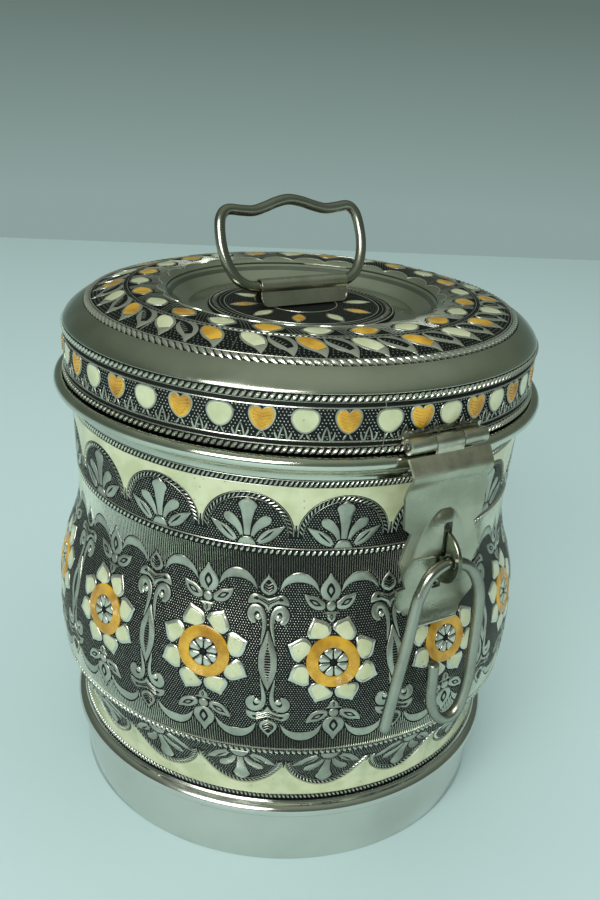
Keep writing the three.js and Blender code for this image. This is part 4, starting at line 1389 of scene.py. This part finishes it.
# %% The lock hook
hook_z, hook_reach, hook_drop, hook_line = 143.0, 22.0, 68.4, -110.0
hook_shares = [(-0.991, -0.931), (-0.895, -0.748), (-0.727, -0.457), (-0.609, -0.199), (-0.541, -0.129),
               (-0.418, -0.053), (-0.225, -0.012), (0, 0), (0.19, -0.018), (0.35, -0.047), (0.46, -0.082),
               (0.57, -0.136), (0.65, -0.2), (0.695, -0.27), (0.715, -0.36), (0.715, -0.606),
               (0.705, -0.767), (0.66, -0.861), (0.59, -0.94), (0.46, -0.991), (0.28, -1.0),
               (0.114, -0.966), (-0.023, -0.89), (-0.082, -0.805), (-0.091, -0.707), (-0.105, -0.605)]
hook_curve = smooth_line(hook_shares, 7)
hook_path = [(x * hook_reach, hook_line, hook_z + down * hook_drop) for x, down in hook_curve]
hook = Bench()
hook.add(*sweep(hook_path, wire_radius, 24))
dress(hook.build("lock_hook_wire", [wire_metal], 60), "hook", "wire", "lock_hook")

# %% [markdown]
# ## Sheet pieces
#
# The bracket, the hasp and the hinge straps are cut from flat sheet and bent. A thin sheet is easiest
# to draw as its middle surface, a grid of points. A helper then gives it thickness, leaves out cells
# for slots, and closes every cut edge. Blender's Solidify would do this too, but it would thicken the
# rolled parts unevenly.
# %% Giving a grid its thickness


def sheet(grid, thick, keep=None, slot=0):
    """Points and quads of a sheet whose middle is a grid of rows by columns."""
    grid = np.asarray(grid, float)
    rows, columns = grid.shape[:2]
    keep = np.ones((rows - 1, columns - 1), bool) if keep is None else keep
    normal = np.cross(np.gradient(grid, axis=1), np.gradient(grid, axis=0))
    normal /= np.maximum(np.linalg.norm(normal, axis=2), 1e-9)[:, :, None]
    lift = normal * thick / 2
    points = np.concatenate([(grid + lift).reshape(-1, 3), (grid - lift).reshape(-1, 3)])
    number = np.arange(rows * columns).reshape(rows, columns)
    a, b, c, d = number[:-1, :-1][keep], number[:-1, 1:][keep], number[1:, 1:][keep], number[1:, :-1][keep]
    behind = rows * columns
    quads = [np.column_stack([a, b, c, d]), np.column_stack([d, c, b, a]) + behind]
    around = np.pad(keep, 1)
    for first, second, beside in ((a, b, around[:-2, 1:-1]), (b, c, around[1:-1, 2:]),
                                  (c, d, around[2:, 1:-1]), (d, a, around[1:-1, :-2])):
        edge = ~beside[keep]
        quads.append(np.column_stack([second, first, first + behind, second + behind])[edge])
    return points, np.vstack(quads), None, slot


def soften(piece, width, segments=2):
    """Rounds the cut edges of a piece."""
    bevel = piece.modifiers.new("cut_edges", "BEVEL")
    bevel.width, bevel.segments = width * mm, segments
    bevel.limit_method, bevel.angle_limit = "ANGLE", math.radians(50)
    bevel.harden_normals = False


# %% The bracket that holds the handle
bracket_metal = polished_metal("bracket_metal", srgb(205, 204, 186), srgb(120, 122, 106), rough=0.24,
                               clouds=0.4, scale=60.0)
bracket_length, bracket_sheet, bracket_foot, bracket_skirt = 40.0, 0.6, 208.3, 211.5


def bracket_grid(columns=61, corner=3.0):
    """A sheet wrapped over the wire, pinched below it and splayed to the medallion."""
    x = np.linspace(-bracket_length / 2, bracket_length / 2, columns)
    over = np.array(arc((0, bail_z), wire_radius + 0.6, 222, -42, 25))
    skirt = smooth_line([(-3.85, bracket_foot), (-3.2, 210.2), (-2.35, 212.6), tuple(over[0])], 5)[:-1]
    side = np.vstack([skirt, over, (skirt * [-1, 1])[::-1]])
    grid = np.empty((len(side), columns, 3))
    grid[:, :, 0] = x
    grid[:, :, 1] = side[:, :1]
    past = np.clip(np.abs(x) - (bracket_length / 2 - corner), 0, corner)
    lift = corner - np.sqrt(corner**2 - past**2)
    low = np.clip((bracket_skirt - side[:, 1]) / (bracket_skirt - bracket_foot), 0, 1)
    grid[:, :, 2] = side[:, 1:] + low[:, None] * lift[None, :]
    return grid


bracket = Bench()
bracket.add(*sheet(bracket_grid(), bracket_sheet))
bracket = bracket.build("handle_bracket_sheet", [bracket_metal])
soften(bracket, 0.12)
dress(bracket, "lid", "polished", "handle_bracket")

# %% Hinge barrels and leaves
barrel_radius, barrel_bore, pin_radius = 2.9, 1.35, 1.05
hinge_length, middle_half, knuckle_half = 32.6, 6.1, 5.8
leaf_face, leaf_rear, leaf_height, leaf_notch = 97.1, 96.1, 4, 2.6
solder_face, solder_lift = 96.9, 3.9


def barrel(start, end, sides=40, wear=0.3):
    """A rolled knuckle about the hinge line, as a closed ring with softened rims."""
    near = wear * 0.3
    rims = ((0, barrel_bore), (0, barrel_radius - wear), (near, barrel_radius - near),
            (wear, barrel_radius))
    along = [start + inset for inset, _ in rims] + [end - inset for inset, _ in rims[::-1]]
    radius = np.array([reach for _, reach in rims + rims[::-1]])
    turn = (np.arange(sides) / sides * 2 * np.pi)[:, None]
    across = np.broadcast_to(along, (sides, len(along)))
    points = np.stack([across, -hinge_y + radius * np.cos(turn), hinge_z + radius * np.sin(turn)],
                      axis=-1).reshape(-1, 3)
    number = np.arange(sides * len(along)).reshape(sides, len(along))
    right, up = np.roll(number, -1, axis=0), np.roll(number, -1, axis=1)
    return points, np.stack([number, up, np.roll(right, -1, axis=1), right], axis=-1).reshape(-1, 4)


def slab(low, high):
    """A plain block between two corners."""
    points = [(x, y, z) for x in (low[0], high[0]) for y in (low[1], high[1]) for z in (low[2], high[2])]
    return points, [(0, 1, 3, 2), (4, 6, 7, 5), (0, 4, 5, 1), (2, 3, 7, 6), (0, 2, 6, 4), (1, 5, 7, 3)]


def solder(start, end, y, z, seed, count=40):
    """A lumpy bead of solder along the edge of a leaf."""
    lumps = random.Random(seed)
    x = np.linspace(start, end, count)
    wander = np.array([[0, lumps.uniform(-0.2, 0.2), lumps.uniform(-0.35, 0.35)] for _ in x])
    thick = [lumps.uniform(0.35, 0.85) for _ in x]
    thick[0] = thick[-1] = 0.2
    return sweep(np.column_stack([x, np.full(count, y), np.full(count, z)]) + wander, thick, 10)


def lid_leaf(name, node_name, back=False):
    leaf = Bench()
    half = hinge_length / 2
    for start, end in ((-half, -middle_half), (middle_half, half)):
        leaf.add(*barrel(start, end))
        leaf.add(*slab((start, -leaf_face, hinge_z), (end, -leaf_rear, hinge_z + leaf_height)))
    leaf.add(*slab((-middle_half, -leaf_face, hinge_z + leaf_notch),
                   (middle_half, -leaf_rear, hinge_z + leaf_height)))
    leaf.add(*solder(-half, half, -solder_face, hinge_z + solder_lift, seed=5), slot=1)
    made = leaf.build(name, [hinge_metal, solder_metal])
    turn_back(made, back)
    return dress(made, "lid", "polished", node_name)


def turn_back(piece, back):
    """The rear hinge is the front one turned half way round the container."""
    if back:
        piece.data.transform(Matrix.Rotation(math.pi, 4, "Z"))


# The hinge's finish paints shade at 0.5 on the sides of its barrels that turn away from the view.
hinge_metal = polished_metal("hinge_metal", srgb(216, 214, 196), srgb(84, 90, 76), rough=0.2, clouds=0.45,
                             scale=90.0, dents=0.2, painted_edge_shade=0.5)
solder_metal = polished_metal("solder_metal", srgb(120, 124, 112), srgb(34, 38, 34), rough=0.38, clouds=0.9,
                              scale=160.0)
lid_leaf("hasp_hinge_leaf_sheet", "hasp_hinge_leaf")
lid_leaf("rear_hinge_leaf_sheet", "rear_hinge_lid_leaf", back=True)

# %% Hinge pins


def hinge_pin(name, node_name, body, back=False):
    pin = Bench()
    reach = hinge_length / 2 + 0.1
    pin.add(*sweep([(x, -hinge_y, hinge_z) for x in np.linspace(-reach, reach, 12)], pin_radius, 20))
    made = pin.build(name, [wire_metal])
    turn_back(made, back)
    return dress(made, body, "wire", node_name)


hinge_pin("hasp_hinge_wire", "hasp_hinge_pin", "lid")
hinge_pin("rear_hinge_wire", "rear_hinge_pin", "container", back=True)

# %% [markdown]
# ## The hasp
#
# The hasp hangs from the lid by its middle knuckle. Its sheet steps out below the barrel, returns to
# the wall, carries a raised hood over the slot for the lug, and ends in a lip curled outward for the
# finger. Its sides are cut in notches. The widths follow its height, so the grid bends with the edge.
# %% The outline of the hasp
hasp_half, hasp_drop, hasp_sheet, hasp_face = 17.3, 68.0, 1.2, 102.8
slot_half, slot_low, slot_high = 1.8, 129.5, 156.5
hood_low, hood_height, hood_half, hood_stand = 143.4, 17.5, 12.0, 3.0
hasp_edge = [(1.0, 0.05), (0.97, 0.197), (1.03, 0.256), (0.97, 0.425), (0.79, 0.46), (1.01, 0.62),
             (0.79, 0.775), (0.995, 0.78), (0.995, 0.862), (0.936, 0.891), (0.636, 0.943), (0.486, 1.0)]
hasp_bend = smooth_line([(101.9, 181.4), (103.1, 180.0), (104.5, 177.9), (105.4, 175.9), (104.9, 174.0),
                         (103.5, 171.8), (hasp_face, 169.6), (hasp_face, 166.0), (hasp_face, 150.0),
                         (hasp_face, 132.0), (hasp_face, 126.4), (103.1, 123.9), (103.9, 121.3),
                         (104.9, 118.9), (105.4, 117.4)], 8)


def hood_rise(x, z):
    """How far the hood stands out: a tent along the slot, open below and rounded above."""
    up = np.clip((z - hood_low) / hood_height, -1, 1.0)
    share = np.clip(1.5 - np.sqrt(np.maximum(2.25 - 2 * up, 0)), -1, 1)
    half = hood_half * np.clip(1 - share, 0.001, 1) ** 0.62
    tent = np.clip(1 - (np.abs(x) / half) ** 1.35, 0, 1)
    below = np.clip((z - hood_low + 1.1) / 1.6, 0, 1)
    below = below * below * (3 - 2 * below)
    above = np.clip((hood_low + hood_height - z) / 5.0, 0, 1)
    return hood_stand * tent * below * np.sqrt(above * (2 - above))


def hasp_grid():
    corners = [hinge_z - down * hasp_drop for _, down in hasp_edge]
    top, bottom = hasp_bend[0][1], hasp_bend[-1][1]
    heights = np.concatenate([np.arange(bottom, top, 0.7), corners, [slot_low, slot_high, top]])
    heights = np.unique(np.round(np.clip(heights, bottom, top), 3))[::-1]
    heights = heights[np.concatenate([[True], -np.diff(heights) > 0.12])]
    edge = np.array([(hinge_z - down * hasp_drop, across * hasp_half) for across, down in hasp_edge[::-1]])
    widths = np.interp(heights, edge[:, 0], edge[:, 1])
    stand = np.interp(heights, hasp_bend[::-1, 1], hasp_bend[::-1, 0])
    shares = np.linspace(0, 1, 18)
    left = -(slot_half + (widths[:, None] - slot_half) * shares[None, ::-1])
    x = np.hstack([left, -left[:, ::-1]])
    z = np.repeat(heights[:, None], x.shape[1], axis=1)
    grid = np.stack([x, -(stand[:, None] + hood_rise(x, z)), z], axis=-1)
    middle = (z[:-1, :-1] + z[1:, :-1]) / 2
    keep = ~((middle > slot_low) & (middle < slot_high))
    keep |= np.arange(keep.shape[1])[None, :] != shares.size - 1
    return grid, keep


hasp_plain = polished_metal("hasp_satin", srgb(188, 188, 168), srgb(118, 122, 106), rough=0.24, clouds=0.5,
                            scale=40.0, dents=0.9)
hasp_worn = polished_metal("hasp_worn", srgb(222, 216, 196), srgb(150, 148, 128), rough=0.34, clouds=0.6,
                           scale=150.0, dents=0.15)
lug_metal = polished_metal("lug_metal", srgb(150, 152, 134), srgb(52, 58, 48), rough=0.16, clouds=0.7,
                           scale=60.0)
worn_from, neck_half = 176.0, 5.6
lip_half, lip_y, lip_z, lip_radius = 8.4, 105.7, 117.3, 0.85
grid, keep = hasp_grid()
hasp = Bench()
points, quads, _, _ = sheet(grid, hasp_sheet, keep)
high = points[quads][:, :, 2].mean(axis=1) > worn_from
hasp.add(points, quads, slot=high.astype(int))
hasp.add(*barrel(-knuckle_half, knuckle_half), slot=2)
neck_bend = smooth_line([(101.9, 184.4), (102.05, 183.2), (101.9, 182.2), (101.8, 181.2)], 4)
neck_rows = [[(x, -y, z) for x in np.linspace(-neck_half, neck_half, 5)] for y, z in neck_bend]
hasp_neck = sheet(neck_rows, 1.0)[:2]
hasp.add(*hasp_neck, slot=1)
lip = [(x, -lip_y + 0.002 * abs(x), lip_z) for x in np.linspace(-lip_half, lip_half, 24)]
hasp.add(*sweep(lip, lip_radius, 16), slot=2)
hasp = hasp.build("hasp_sheet", [hasp_plain, hasp_worn, hinge_metal])
soften(hasp, 0.15)
dress(hasp, "hasp", "polished", "hasp_plate")

# %% [markdown]
# ## The lug
#
# A thick tab stands out through the slot, and the hook passes through its eye. Its rim and the eye are
# two loops with the same number of points, so the faces between them run straight from one to the other.
# %% The tab and its eye
lug_z, lug_half, lug_tip, lug_back = 143.3, 10.2, 114.8, 93.9
eye_y, eye_radius, tab_thick = 110.0, 2.9, 1.6
plate_face, plate_rear, plate_half, plate_tall = 94.4, 93.4, 6, 13


def tab_rim(turn):
    """Distance from the eye's middle to the rim of the tab in one direction."""
    out, up = math.cos(turn), math.sin(turn)
    steps = np.linspace(0, 20, 2001)
    y, z = eye_y + out * steps, up * steps
    turn_y = lug_tip - lug_half
    within = (y > lug_back) & (np.abs(z) < lug_half)
    within &= (y < turn_y) | (np.hypot(y - turn_y, z) < lug_half)
    return steps[within].max()


def tab_loops(count=72, wear=0.25):
    turns = np.arange(count) / count * 2 * np.pi
    rim = np.array([tab_rim(turn) for turn in turns])
    side = tab_thick / 2
    loops = ((rim, side - wear), (rim - wear, side), (np.full(count, eye_radius + wear), side),
             (np.full(count, eye_radius), side - wear), (np.full(count, eye_radius), wear - side),
             (np.full(count, eye_radius + wear), -side), (rim - wear, -side), (rim, wear - side))
    points = [np.column_stack([np.full(count, x), -(eye_y + reach * np.cos(turns)),
                               lug_z + reach * np.sin(turns)])
              for reach, x in loops]
    return np.vstack(points), torus_quads(np.arange(len(loops) * count).reshape(len(loops), count))


lug = Bench()
lug.add(*tab_loops())
lug.add(*slab((-plate_half, -plate_face, lug_z - plate_tall),
              (plate_half, -plate_rear, lug_z + plate_tall)))
lug = lug.build("lug_sheet", [lug_metal])
dress(lug, "container", "polished", "latch_lug")

# %% [markdown]
# ## The rear strap
#
# The photograph doesn't show the back, so its hinge is the front one's twin, and the strap that joins
# it to the body steps in over the rolled rim to the neck.
# %% The strap of the back hinge
strap_half = 13.0
strap_bend = smooth_line([(101.2, 181.4), (101.7, 178.9), (101.8, 176.4), (100.2, 173.6), (97.3, 170.6),
                          (95.4, 168.4), (94.7, 166.4), (94.3, 163.5), (94.1, 160.0), (94.1, 155.2)], 5)
strap_rows = [[(x, -y, z) for x in np.linspace(-strap_half, strap_half, 15)] for y, z in strap_bend]
strap = Bench()
strap.add(*sheet(strap_rows, hasp_sheet))
strap.add(*barrel(-knuckle_half, knuckle_half), slot=1)
strap.add(*hasp_neck)
strap = strap.build("rear_strap_sheet", [hasp_plain, hinge_metal])
soften(strap, 0.15)
turn_back(strap, True)
dress(strap, "container", "polished", "rear_hinge_strap")

# %% [markdown]
# ## The studio
#
# The container stands on a plain pale table in soft daylight. The backdrop's colour is given only to
# what the camera and the reflections see, so that it never adds light of its own.
# %% Floor, backdrop and lamps
floor_half, table_turn = 1.19, 0.106
table_colour, daylight = srgb(196, 221, 219), srgb(238, 248, 246)
world_strength, sky_low = 0.5, -0.2
sky_colours = [(-0.14, srgb(141, 162, 158)), (0.0, srgb(112, 130, 125)), (0.05, srgb(98, 114, 108)),
               (0.25, srgb(92, 102, 92)), (0.5, srgb(98, 106, 94)), (0.75, srgb(124, 134, 122)),
               (1.0, srgb(144, 154, 140))]
lamp_target = (0, 0, 0.1)


def add_floor():
    mesh = bpy.data.meshes.new("floor")
    corners = [(-1, -1), (1, -1), (1, 1), (-1, 1)]
    mesh.from_pydata([(x * floor_half, y * floor_half, 0) for x, y in corners], [], [(0, 1, 2, 3)])
    material, tree, shader = new_material("table", Base_Color=table_colour, Roughness=0.6)
    mesh.materials.append(material)
    floor = bpy.data.objects.new("floor", mesh)
    floor.rotation_euler = (0, 0, table_turn - camera_heading)
    collection.objects.link(floor)


def add_world(strength):
    world = bpy.data.worlds.new("studio")
    world.use_nodes = True
    tree = world.node_tree
    tree.nodes.clear()
    paths = tree.nodes.new("ShaderNodeLightPath")
    seen = maths(tree, "MAXIMUM", paths.outputs["Is Camera Ray"], paths.outputs["Is Glossy Ray"])
    seen = maths(tree, "MAXIMUM", seen, paths.outputs["Is Transmission Ray"])
    light = node(tree, "ShaderNodeBackground", {"Color": daylight, "Strength": strength})
    way = node(tree, "ShaderNodeSeparateXYZ",
               {0: tree.nodes.new("ShaderNodeTexCoord").outputs["Generated"]})
    rise = node(tree, "ShaderNodeMapRange", {0: way.outputs[2], 1: sky_low, 2: 1.0}).outputs[0]
    shades = node(tree, "ShaderNodeValToRGB", {0: rise})
    sky = shades.color_ramp
    for number, (height, colour) in enumerate(sky_colours):
        stop = sky.elements[number] if number < 2 else sky.elements.new(1.0)
        stop.position, stop.color = (height - sky_low) / (1 - sky_low), colour
    backdrop = node(tree, "ShaderNodeBackground", {"Color": shades.outputs[0], "Strength": 1.0})
    mix = node(tree, "ShaderNodeMixShader", {0: seen, 1: light.outputs[0], 2: backdrop.outputs[0]})
    tree.links.new(mix.outputs[0], node(tree, "ShaderNodeOutputWorld").inputs[0])
    bpy.context.scene.world = world


def add_lamp(name, place, size, power, mirrored_in_metal):
    """A soft rectangular lamp that looks at the middle of the container."""
    data = bpy.data.lights.new(name, "AREA")
    data.shape, data.size, data.size_y = "RECTANGLE", size[0], size[1]
    data.energy = power
    lamp = bpy.data.objects.new(name, data)
    lamp.location = place
    lamp.rotation_euler = (Vector(lamp_target) - Vector(place)).to_track_quat("-Z", "Y").to_euler()
    lamp.visible_glossy = mirrored_in_metal
    collection.objects.link(lamp)


add_floor()
add_world(world_strength)
add_lamp("window", (-1.15, -0.85, 0.95), (1.0, 0.8), 18, True)
add_lamp("fill", (0.9, -1.0, 0.6), (1.1, 1.0), 4, False)
add_lamp("top", (0.1, 0.3, 1.5), (1.3, 1.3), 5, False)
bpy.context.scene.view_settings.view_transform = "Standard"
